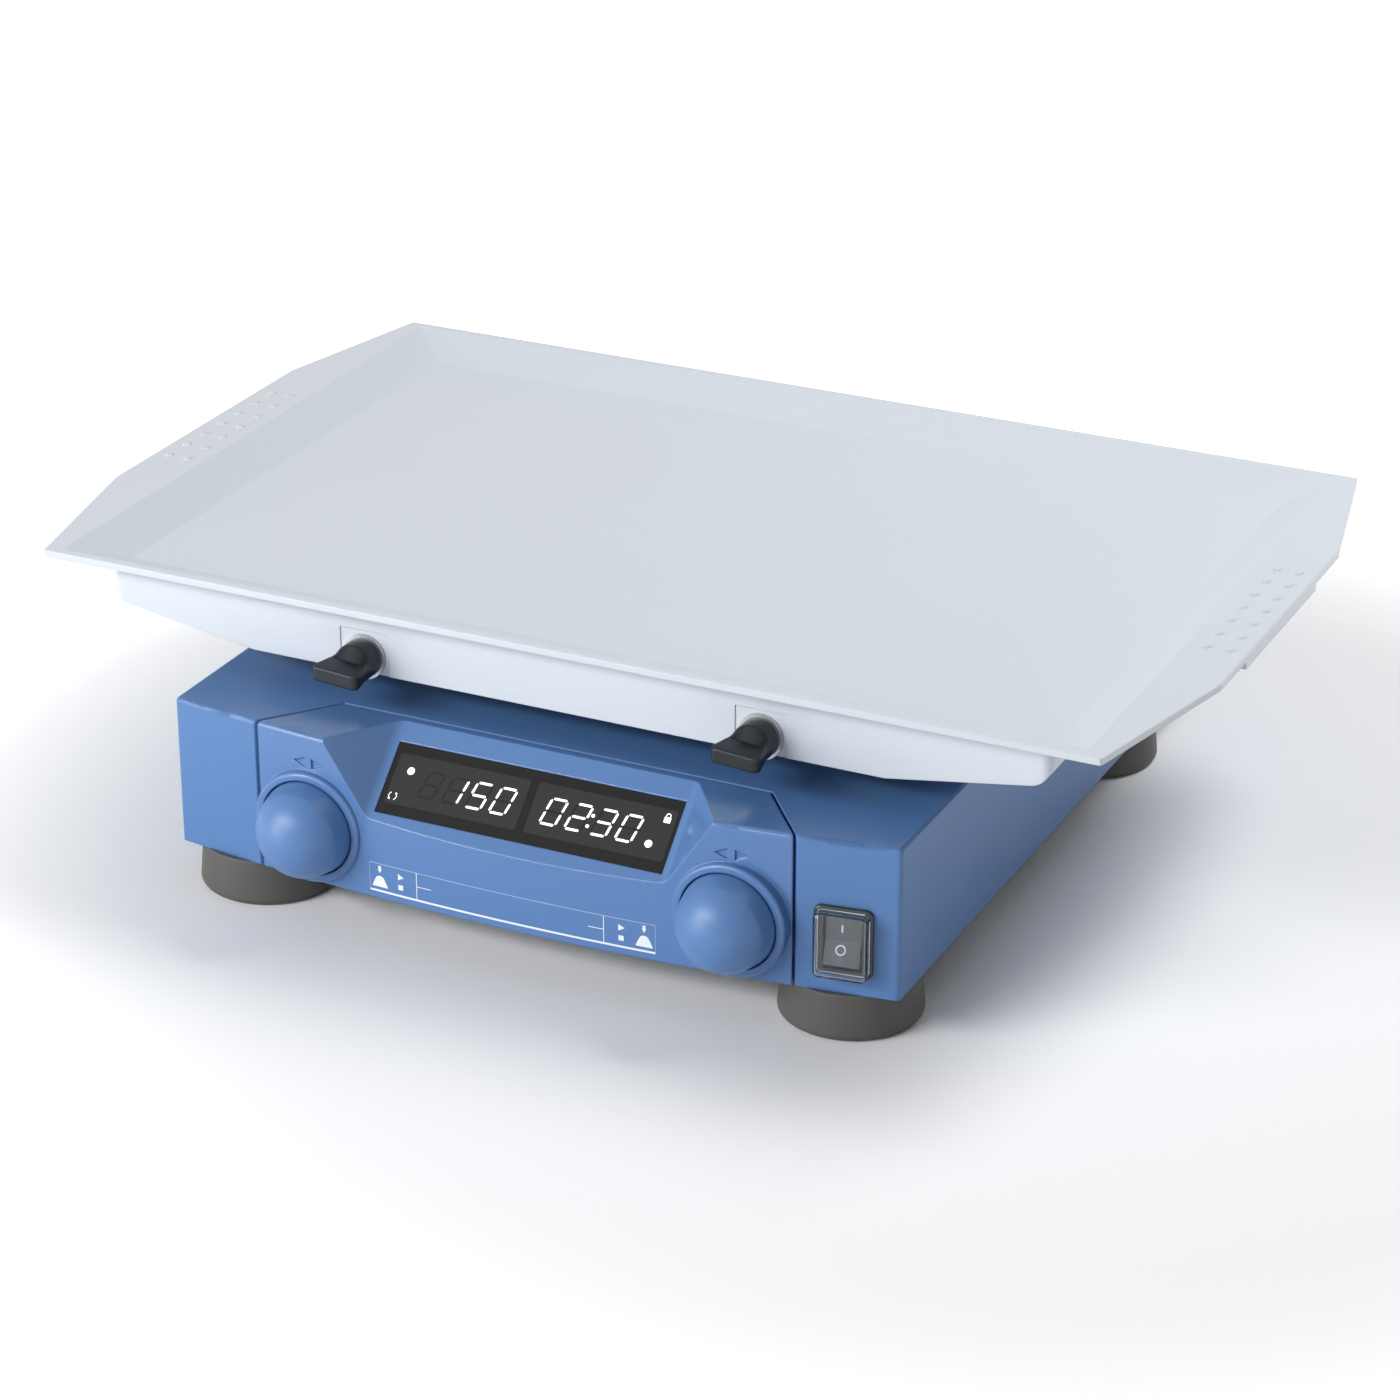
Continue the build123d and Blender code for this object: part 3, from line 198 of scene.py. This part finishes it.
# Studio: each lamp's place, the point that it looks at, width, height and watts, and the sky's light
STUDIO_LAMPS = {
    "rear_lamp": ((0.61, 0.61, 1.13), (0.0, 0.0, 0.1), 0.6, 0.6, 12.5),
    "key_lamp": ((-0.53, -1.1, 0.74), (-0.03, -0.12, 0.05), 0.9, 0.16, 9.3),
    "fill_lamp": ((-1.2, -1.45, 0.45), (0.0, -0.12, 0.04), 0.9, 0.9, 14.0),
}
WORLD_LIGHT = 0.2

# Camera at the photograph's viewing angle
CAMERA_EYE = (0.58708, -1.21922, 0.66331)
CAMERA_AIM = (0.0169, -0.0326, 0.0593)
CAMERA_ROLL = math.radians(-0.024)
CAMERA_LENS = 107.13
CAMERA_SENSOR = 36.0
CAMERA_REACH = 50.0

# Finish of each moulded, cast or printed surface, with its grain as waves per metre and height
BLUE = (0.094, 0.206, 0.45)
SURFACES = {
    "housing_blue": dict(colour=BLUE, roughness=0.31, play=0.02, spread=0.02, specular=0.35,
                         grain=(2200.0, 0.004 * MM), rounding=MOULDED_EDGE),
    "panel_blue": dict(colour=BLUE, roughness=0.21, play=0.02, spread=0.02,
                       grain=(2200.0, 0.004 * MM), rounding=MOULDED_EDGE),
    "knob_blue": dict(colour=BLUE, roughness=0.4, play=0.02, spread=0.02,
                      grain=(2600.0, 0.003 * MM), rounding=SHEET_EDGE),
    "window_black": dict(colour=(0.006, 0.006, 0.0065), roughness=0.4, specular=0.2,
                         grain=(900.0, 0.002 * MM)),
    "switch_black": dict(colour=(0.02, 0.024, 0.03), roughness=0.22, play=0.03, coat=0.3,
                         grain=(2600.0, 0.004 * MM), rounding=SHEET_EDGE),
    "rocker_grey": dict(colour=(0.10, 0.105, 0.11), roughness=0.38,
                        grain=(2600.0, 0.006 * MM), rounding=SHEET_EDGE),
    "tray_white": dict(colour=(0.62, 0.665, 0.72), roughness=0.32, play=0.02, spread=0.012, patch=12.0,
                       specular=0.35, grain=(1500.0, 0.004 * MM), rounding=SHEET_EDGE),
    "lever_black": dict(colour=(0.009, 0.013, 0.018), roughness=0.38, specular=0.35,
                        grain=(2600.0, 0.008 * MM), rounding=MOULDED_EDGE),
    "foot_rubber": dict(colour=(0.085, 0.082, 0.075), roughness=0.55, spread=0.1,
                        grain=(1500.0, 0.02 * MM), rounding=MOULDED_EDGE),
    "seal_rubber": dict(colour=(0.02, 0.02, 0.02), roughness=0.6, grain=(1500.0, 0.02 * MM)),
    "belt_rubber": dict(colour=(0.018, 0.018, 0.018), roughness=0.7, grain=(1200.0, 0.05 * MM)),
    "cast_alloy": dict(colour=(0.5, 0.51, 0.52), roughness=0.5, metallic=1.0, spread=0.08,
                       grain=(700.0, 0.08 * MM)),
    "motor_black": dict(colour=(0.02, 0.02, 0.022), roughness=0.45, grain=(900.0, 0.03 * MM)),
    "board_green": dict(colour=(0.02, 0.12, 0.05), roughness=0.45, spread=0.12, grain=(500.0, 0.03 * MM)),
    "socket_black": dict(colour=(0.018, 0.018, 0.019), roughness=0.4, grain=(1500.0, 0.02 * MM)),
    "print_white": dict(colour=(0.80, 0.84, 0.90), roughness=0.45, spread=0.02, grain=(1800.0, 0.004 * MM)),
    "print_pale": dict(colour=(0.34, 0.46, 0.70), roughness=0.45, spread=0.02, grain=(1800.0, 0.004 * MM)),
    "field_grey": dict(colour=(0.026, 0.026, 0.027), roughness=0.42, specular=0.2,
                       grain=(1200.0, 0.002 * MM)),
    "ghost_grey": dict(colour=(0.012, 0.012, 0.013), roughness=0.42, specular=0.2,
                       grain=(1200.0, 0.002 * MM)),
}
METALS = {
    "machined_alloy": dict(colour=(0.66, 0.67, 0.69), roughness=0.38),
    "steel": dict(colour=(0.5, 0.51, 0.53), roughness=0.36),
    "bush_bronze": dict(colour=(0.55, 0.36, 0.16), roughness=0.38),
}


# Materials

def new_material(name):
    """Empty node material and its Principled shader."""
    material = bpy.data.materials.new(name)
    material.use_nodes = True
    return material, material.node_tree.nodes["Principled BSDF"]


def link(material, source, output, target, socket):
    """Join one node's output to another's input."""
    material.node_tree.links.new(source.outputs[output], target.inputs[socket])


def noise(material, scale, detail=GLOSS_DETAIL):
    """Noise in the object's own coordinates, in waves per metre."""
    tree = material.node_tree
    place = tree.nodes.new("ShaderNodeTexCoord")
    texture = tree.nodes.new("ShaderNodeTexNoise")
    texture.inputs["Scale"].default_value = scale
    texture.inputs["Detail"].default_value = detail
    link(material, place, "Object", texture, "Vector")
    return texture


def add_gloss(material, shader, texture, low, high):
    """Roughness that follows a texture from low to high."""
    node = material.node_tree.nodes.new("ShaderNodeMapRange")
    node.inputs["To Min"].default_value = low
    node.inputs["To Max"].default_value = high
    link(material, texture, "Fac", node, "Value")
    link(material, node, "Result", shader, "Roughness")


def add_relief(material, shader, grain, rounding=0.0):
    """Fine moulded or cast grain, over edges that shade as rounded."""
    scale, height = grain
    bump = material.node_tree.nodes.new("ShaderNodeBump")
    bump.inputs["Strength"].default_value = 1.0
    bump.inputs["Distance"].default_value = height
    link(material, noise(material, scale, GRAIN_DETAIL), "Fac", bump, "Height")
    link(material, bump, "Normal", shader, "Normal")
    if rounding:
        edges = material.node_tree.nodes.new("ShaderNodeBevel")
        edges.samples = EDGE_SAMPLES
        edges.inputs["Radius"].default_value = rounding
        link(material, edges, "Normal", bump, "Normal")


def add_tint(material, shader, colour, spread, scale):
    """Colour that varies in patches, by the spread either way."""
    patches = noise(material, scale, TINT_DETAIL)
    mix = material.node_tree.nodes.new("ShaderNodeMix")
    mix.data_type = "RGBA"
    mix.inputs[MIX_FROM].default_value = (*[c * (1 - spread) for c in colour], 1)
    mix.inputs[MIX_TO].default_value = (*[min(1.0, c * (1 + spread)) for c in colour], 1)
    link(material, patches, "Fac", mix, MIX_FACTOR)
    link(material, mix, MIX_RESULT, shader, "Base Color")


def surface(name, colour, roughness, grain, play=0.04, spread=0.04, patch=30.0, metallic=0.0,
            specular=0.5, coat=0.0, rounding=0.0):
    """Solid material with uneven colour, uneven gloss and a fine grain."""
    material, shader = new_material(name)
    shader.inputs["Metallic"].default_value = metallic
    shader.inputs["Specular IOR Level"].default_value = specular
    shader.inputs["Coat Weight"].default_value = coat
    shader.inputs["Coat Roughness"].default_value = COAT_ROUGHNESS
    add_tint(material, shader, colour, spread, patch)
    texture = noise(material, patch * GLOSS_FINENESS)
    add_gloss(material, shader, texture, roughness - play, roughness + play)
    add_relief(material, shader, grain, rounding)
    return material


def brushed(name, colour, roughness):
    """Turned or drawn metal with fine streaks."""
    material, shader = new_material(name)
    tree = material.node_tree
    shader.inputs["Metallic"].default_value = 1.0
    add_tint(material, shader, colour, METAL_SPREAD, METAL_PATCH)
    place = tree.nodes.new("ShaderNodeTexCoord")
    scaled = tree.nodes.new("ShaderNodeMapping")
    scaled.inputs["Scale"].default_value = STREAK_STRETCH
    streaks = tree.nodes.new("ShaderNodeTexNoise")
    streaks.inputs["Scale"].default_value = STREAK_SCALE
    link(material, place, "Object", scaled, "Vector")
    link(material, scaled, "Vector", streaks, "Vector")
    add_gloss(material, shader, streaks, roughness - STREAK_LOWER, roughness + STREAK_RAISE)
    return material


def glowing(name, colour, strength, patch, gloss):
    """Lit digit or lamp."""
    material, shader = new_material(name)
    shader.inputs["Base Color"].default_value = (*colour, 1)
    shader.inputs["Emission Color"].default_value = (*colour, 1)
    shader.inputs["Emission Strength"].default_value = strength
    add_gloss(material, shader, noise(material, patch), *gloss)
    return material


def clear_plastic(name, colour, refraction, patch, gloss, grain):
    """Thin clear hood."""
    material, shader = new_material(name)
    shader.inputs["Base Color"].default_value = (*colour, 1)
    shader.inputs["Transmission Weight"].default_value = 1.0
    shader.inputs["IOR"].default_value = refraction
    add_gloss(material, shader, noise(material, patch), *gloss)
    add_relief(material, shader, grain)
    return material


looks = {name: surface(name, **finish) for name, finish in SURFACES.items()}
looks.update({name: brushed(name, **finish) for name, finish in METALS.items()})
looks["cover_clear"] = clear_plastic("cover_clear", colour=(0.93, 0.96, 1.0), refraction=1.45, patch=120.0,
                                     gloss=(0.02, 0.1), grain=(300.0, 0.03 * MM))
looks["lit_white"] = glowing("lit_white", colour=(0.95, 0.97, 1.0), strength=0.9, patch=400.0,
                             gloss=(0.35, 0.5))


def dress_frame():
    """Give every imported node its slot's material."""
    for part in frame["record"]["subparts"]:
        node = nodes[part["node"]]
        node.data.materials.clear()
        node.data.materials.append(looks[part["material_slot"]])


# Thin printed and lit marks

def flat_piece(name, polygons, place, look, body="base"):
    """One mesh from outlines given in two coordinates, put in space by place(u, v)."""
    vertices = []
    faces = []
    for polygon in polygons:
        faces.append(list(range(len(vertices), len(vertices) + len(polygon))))
        vertices += [place(u, v) for u, v in polygon]
    mesh = bpy.data.meshes.new(name)
    mesh.from_pydata(vertices, [], faces)
    mesh.materials.append(looks[look])
    piece = bpy.data.objects.new(name, mesh)
    bpy.context.scene.collection.objects.link(piece)
    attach(piece, body)


def strip(u0, v0, u1, v1, width):
    """Straight printed line as short quads, so that it follows a bowed face."""
    length = math.hypot(u1 - u0, v1 - v0)
    count = max(1, math.ceil(length / PRINT_STEP))
    along = Vector(((u1 - u0) / length, (v1 - v0) / length))
    side = Vector((-along.y, along.x)) * width / 2
    start = Vector((u0, v0))
    quads = []
    for i in range(count):
        a = start + along * length * i / count
        b = start + along * length * (i + 1) / count
        quads.append([tuple(a - side), tuple(b - side), tuple(b + side), tuple(a + side)])
    return quads


def disc(u, v, radius, sides=28):
    """Round dot."""
    angles = [2 * math.pi * i / sides for i in range(sides)]
    return [(u + radius * math.cos(a), v + radius * math.sin(a)) for a in angles]


def ring(u, v, radius, width, start=0.0, turn=2 * math.pi, count=28):
    """Arc of a ring as quads."""
    quads = []
    for i in range(count):
        corners = []
        for edge, reach in ((i, -1), (i + 1, -1), (i + 1, 1), (i, 1)):
            a = start + turn * edge / count
            r = radius + reach * width / 2
            corners.append((u + r * math.cos(a), v + r * math.sin(a)))
        quads.append(corners)
    return quads


def rounded(u0, v0, u1, v1, radius):
    """Rectangle with rounded corners."""
    points = []
    for u, v, start in ((u1 - radius, v1 - radius, 0), (u0 + radius, v1 - radius, 90),
                        (u0 + radius, v0 + radius, 180), (u1 - radius, v0 + radius, 270)):
        for i in range(CORNER_STEPS + 1):
            a = math.radians(start + 90 * i / CORNER_STEPS)
            points.append((u + radius * math.cos(a), v + radius * math.sin(a)))
    return points


# Display

def on_pane(lift):
    """Place function for marks on the pane, a little above it."""
    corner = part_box("display_window")[0]
    across = Vector((1, 0, 0))
    up_slope = Vector((0, math.cos(PANE_TILT), math.sin(PANE_TILT)))
    outward = Vector((0, -math.sin(PANE_TILT), math.cos(PANE_TILT)))
    start = corner + Vector((0, 0, PANE_THICKNESS * math.cos(PANE_TILT))) + outward * lift

    def place(u, v):
        return start + across * u + up_slope * v
    return place


def segment(name):
    """Outline of one segment of a digit, before slanting, from the digit's lower left corner."""
    half = DIGIT_STROKE / 2
    waist = DIGIT_HEIGHT / 2
    if name in "adg":
        middle = {"a": DIGIT_HEIGHT - half, "d": half, "g": waist}[name]
        left = half + DIGIT_GAP
        right = DIGIT_WIDTH - half - DIGIT_GAP
        return [(left, middle), (left + half, middle - half), (right - half, middle - half), (right, middle),
                (right - half, middle + half), (left + half, middle + half)]
    x = half if name in "ef" else DIGIT_WIDTH - half
    low, high = (half, waist) if name in "ce" else (waist, DIGIT_HEIGHT - half)
    low += DIGIT_GAP
    high -= DIGIT_GAP
    return [(x, low), (x + half, low + half), (x + half, high - half), (x, high), (x - half, high - half),
            (x - half, low + half)]


def digit(u, v, segments):
    """Slanted outlines of the named segments."""
    return [[(u + x + y * DIGIT_SLANT, v + y) for x, y in segment(name)] for name in segments]


def rotation_icon(u, v):
    """Two small arc arrows round a point."""
    marks = []
    for start in ARC_STARTS:
        marks += ring(u, v, ARC_RADIUS, ARC_WIDTH, math.radians(start), math.radians(ARC_TURN), 8)
        end = math.radians(start + ARC_TURN)
        outward = Vector((math.cos(end), math.sin(end)))
        ahead = Vector((-outward.y, outward.x))
        base = Vector((u, v)) + outward * ARC_RADIUS
        head = (base + outward * ARC_HEAD_HALF, base + ahead * ARC_HEAD_LENGTH,
                base - outward * ARC_HEAD_HALF)
        marks.append([tuple(corner) for corner in head])
    return marks


def lock_icon(u, v):
    """Padlock: body, two legs and bow."""
    body = rounded(u - LOCK_HALF, v - LOCK_BELOW, u + LOCK_HALF, v + LOCK_ABOVE, LOCK_CORNER)
    leg_low = v + LOCK_ABOVE - LEG_IN_BODY
    leg_high = v + BOW_HEIGHT + LEG_IN_BOW
    legs = [rounded(x - BOW_WIDTH / 2, leg_low, x + BOW_WIDTH / 2, leg_high, LEG_CORNER)
            for x in (u - BOW_RADIUS, u + BOW_RADIUS)]
    return [body] + legs + ring(u, v + BOW_HEIGHT, BOW_RADIUS, BOW_WIDTH, 0.0, math.pi, 10)


def build_display():
    """Fields, unlit and lit segments, lamps and icons on the pane."""
    fields = [rounded(u0, FIELD_LOW, u1, FIELD_HIGH, FIELD_CORNER) for u0, u1 in FIELD_ENDS]
    flat_piece("display_fields", fields, on_pane(FIELD_LIFT), "field_grey")
    unlit = []
    lit = []
    for start, pitch, text in DIGIT_ROWS:
        for i, character in enumerate(text):
            u = start + i * pitch
            on = SEGMENTS[character]
            lit += digit(u, DIGIT_LOW, on)
            unlit += digit(u, DIGIT_LOW, [s for s in SEGMENTS["8"] if s not in on])
    for height in COLON_HEIGHTS:
        lit.append(disc(COLON_X + height * DIGIT_SLANT, DIGIT_LOW + height, COLON_RADIUS, sides=16))
    lit += [disc(u, v, LAMP_RADIUS) for u, v in LAMP_PLACES]
    lit += rotation_icon(*ROTATION_PLACE) + lock_icon(*LOCK_PLACE)
    flat_piece("display_unlit_segments", unlit, on_pane(UNLIT_LIFT), "ghost_grey")
    flat_piece("display_lit_marks", lit, on_pane(LIT_LIFT), "lit_white")


# Printed legend on the panel

def on_front(node, lift):
    """Place function that drops a mark onto a front face from straight ahead."""
    front = nodes[node]
    start = cad_box[0].y - SIGHT_START

    def place(x, z):
        hit, point, normal, _ = front.ray_cast(Vector((x, start, z)), Vector((0, 1, 0)))
        if not hit:
            raise ValueError(f"no face of {node} behind x {x} z {z}")
        return point + normal * lift
    return place


def dome_icon(x):
    """Push mark: an arrow over a solid dome."""
    low = LEGEND_LOW + ICON_RISE
    neck = low + DOME_NECK
    centre = low + DOME_CENTRE
    angles = [math.radians(a) for a in range(DOME_STEP, 180, DOME_STEP)]
    dome = [(x - DOME_FOOT_HALF, low), (x + DOME_FOOT_HALF, low), (x + DOME_NECK_HALF, neck)]
    dome += [(x + DOME_RADIUS * math.cos(a), centre + DOME_RADIUS * math.sin(a)) for a in angles]
    dome.append((x - DOME_NECK_HALF, neck))
    head = [(x - PUSH_HEAD_HALF, low + PUSH_HEAD_TOP), (x, low + PUSH_TIP),
            (x + PUSH_HEAD_HALF, low + PUSH_HEAD_TOP)]
    return [dome, head] + strip(x, low + PUSH_STEM_LOW, x, low + PUSH_STEM_HIGH, PUSH_STEM_WIDTH)


def run_marks(x):
    """Start triangle over a stop square."""
    play_low = LEGEND_MIDDLE + PLAY_GAP
    triangle = [(x - PLAY_BACK, play_low), (x + PLAY_TIP, play_low + PLAY_HEIGHT / 2),
                (x - PLAY_BACK, play_low + PLAY_HEIGHT)]
    stop_high = LEGEND_MIDDLE - STOP_GAP
    stop_low = stop_high - 2 * STOP_HALF
    square = [(x - STOP_HALF, stop_low), (x + STOP_HALF, stop_low), (x + STOP_HALF, stop_high),
              (x - STOP_HALF, stop_high)]
    return [triangle, square]


def build_legend():
    """Frame, dividers and icons printed under the display."""
    left = LEGEND_X - LEGEND_HALF
    right = LEGEND_X + LEGEND_HALF
    strong = strip(left, LEGEND_LOW, right, LEGEND_LOW, BASE_LINE_WIDTH)
    pale = strip(left, LEGEND_HIGH, right, LEGEND_HIGH, LINE_WIDTH)
    for end in (left, right):
        pale += strip(end, LEGEND_LOW + END_LINE_RISE, end, LEGEND_HIGH, END_LINE_WIDTH)
    for side in (-1, 1):
        x = LEGEND_X + side * LEGEND_DIVIDER
        strong += strip(x, LEGEND_LOW, x, LEGEND_HIGH, LINE_WIDTH)
        strong += strip(x, LEGEND_MIDDLE, x - side * LEGEND_DASH, LEGEND_MIDDLE, LINE_WIDTH)
        strong += dome_icon(LEGEND_X + side * LEGEND_ICON)
        strong += run_marks(LEGEND_X + side * LEGEND_MARK)
    place = on_front("front_panel", PRINT_LIFT)
    flat_piece("legend_strong", strong, place, "print_white")
    flat_piece("legend_pale", pale, place, "print_pale")


# Marks on the mains rocker

def build_rocker_marks():
    """On bar and off ring on the rocker's hollow face."""
    low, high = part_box("power_rocker")
    x = (low.x + high.x) / 2
    z = (low.z + high.z) / 2
    bar = strip(x, z + BAR_LOW, x, z + BAR_HIGH, BAR_WIDTH)
    off = ring(x, z - RING_DROP, RING_RADIUS, RING_WIDTH)
    place = on_front("power_rocker", ROCKER_LIFT)
    flat_piece("rocker_marks", bar + off, place, "print_white", "mains_rocker")


# Floor, light and camera

def shown_rays(tree):
    """Node whose value is 1 for camera, glossy and transmission rays, which see the white background."""
    path = tree.nodes.new("ShaderNodeLightPath")
    total = path.outputs["Is Camera Ray"]
    for name in ("Is Glossy Ray", "Is Transmission Ray"):
        either = tree.nodes.new("ShaderNodeMath")
        either.operation = "MAXIMUM"
        tree.links.new(total, either.inputs[0])
        tree.links.new(path.outputs[name], either.inputs[1])
        total = either.outputs["Value"]
    return either


def floor_glow(material):
    """Emission that fades in away from the object, for the rays that see the background."""
    tree = material.node_tree
    place = tree.nodes.new("ShaderNodeTexCoord")
    shift = tree.nodes.new("ShaderNodeVectorMath")
    shift.operation = "SUBTRACT"
    shift.inputs[1].default_value = FLOOR_GLOW_CENTRE
    distance = tree.nodes.new("ShaderNodeVectorMath")
    distance.operation = "LENGTH"
    fade = tree.nodes.new("ShaderNodeMapRange")
    fade.interpolation_type = "SMOOTHSTEP"
    fade.inputs["From Min"].default_value = FLOOR_GLOW_NEAR
    fade.inputs["From Max"].default_value = FLOOR_GLOW_FAR
    fade.inputs["To Max"].default_value = FLOOR_GLOW
    level = tree.nodes.new("ShaderNodeMath")
    level.operation = "MULTIPLY"
    glow = tree.nodes.new("ShaderNodeEmission")
    glow.inputs["Color"].default_value = (1, 1, 1, 1)
    link(material, place, "Object", shift, 0)
    link(material, shift, "Vector", distance, 0)
    link(material, distance, "Value", fade, "Value")
    link(material, shown_rays(tree), "Value", level, 0)
    link(material, fade, "Result", level, 1)
    link(material, level, "Value", glow, "Strength")
    return glow


def floor_material():
    """Pale paper that shows the shadow near the object and white further out."""
    material, shader = new_material("floor_paper")
    tree = material.node_tree
    shader.inputs["Roughness"].default_value = FLOOR_ROUGHNESS
    shader.inputs["Specular IOR Level"].default_value = FLOOR_SPECULAR
    add_tint(material, shader, FLOOR_COLOUR, FLOOR_SPREAD, FLOOR_PATCH)
    both = tree.nodes.new("ShaderNodeAddShader")
    link(material, shader, "BSDF", both, 0)
    link(material, floor_glow(material), "Emission", both, 1)
    link(material, both, "Shader", tree.nodes["Material Output"], "Surface")
    return material


def build_floor():
    """Pale floor that keeps the shadow."""
    low = cad_box[0].z - FLOOR_GAP
    corners = [(x * FLOOR_REACH, y * FLOOR_REACH, low) for x, y in ((-1, -1), (1, -1), (1, 1), (-1, 1))]
    mesh = bpy.data.meshes.new("floor")
    mesh.from_pydata(corners, [], [(0, 1, 2, 3)])
    mesh.materials.append(floor_material())
    floor = bpy.data.objects.new("floor", mesh)
    bpy.context.scene.collection.objects.link(floor)


def area_light(name, place, target, width, height, power):
    """Soft rectangular lamp that looks at a point."""
    lamp = bpy.data.lights.new(name, "AREA")
    lamp.shape = "RECTANGLE"
    lamp.size = width
    lamp.size_y = height
    lamp.energy = power
    holder = bpy.data.objects.new(name, lamp)
    bpy.context.scene.collection.objects.link(holder)
    holder.location = place
    holder.rotation_euler = (Vector(target) - Vector(place)).to_track_quat("-Z", "Y").to_euler()


def build_light():
    """Soft studio: a lamp behind on the right for the tray, a key and a lower fill from the left front."""
    for name, lamp in STUDIO_LAMPS.items():
        area_light(name, *lamp)
    world = bpy.data.worlds.new("studio")
    bpy.context.scene.world = world
    world.use_nodes = True
    tree = world.node_tree
    background = tree.nodes["Background"]
    background.inputs["Color"].default_value = (1, 1, 1, 1)
    level = tree.nodes.new("ShaderNodeMapRange")
    level.inputs["To Min"].default_value = WORLD_LIGHT
    level.inputs["To Max"].default_value = 1.0
    tree.links.new(shown_rays(tree).outputs["Value"], level.inputs["Value"])
    tree.links.new(level.outputs["Result"], background.inputs["Strength"])


def build_camera():
    """Camera at the photograph's viewing angle."""
    camera = bpy.data.cameras.new("camera")
    camera.sensor_width = CAMERA_SENSOR
    camera.lens = CAMERA_LENS
    camera.clip_end = CAMERA_REACH
    holder = bpy.data.objects.new("camera", camera)
    bpy.context.scene.collection.objects.link(holder)
    holder.location = CAMERA_EYE
    look = (Vector(CAMERA_AIM) - Vector(CAMERA_EYE)).to_track_quat("-Z", "Y").to_matrix().to_4x4()
    holder.rotation_euler = (look @ Matrix.Rotation(CAMERA_ROLL, 4, "Z")).to_euler()
    bpy.context.scene.camera = holder


dress_frame()
build_display()
build_legend()
build_rocker_marks()
build_floor()
build_light()
build_camera()
bpy.context.scene.view_settings.view_transform = "Standard"
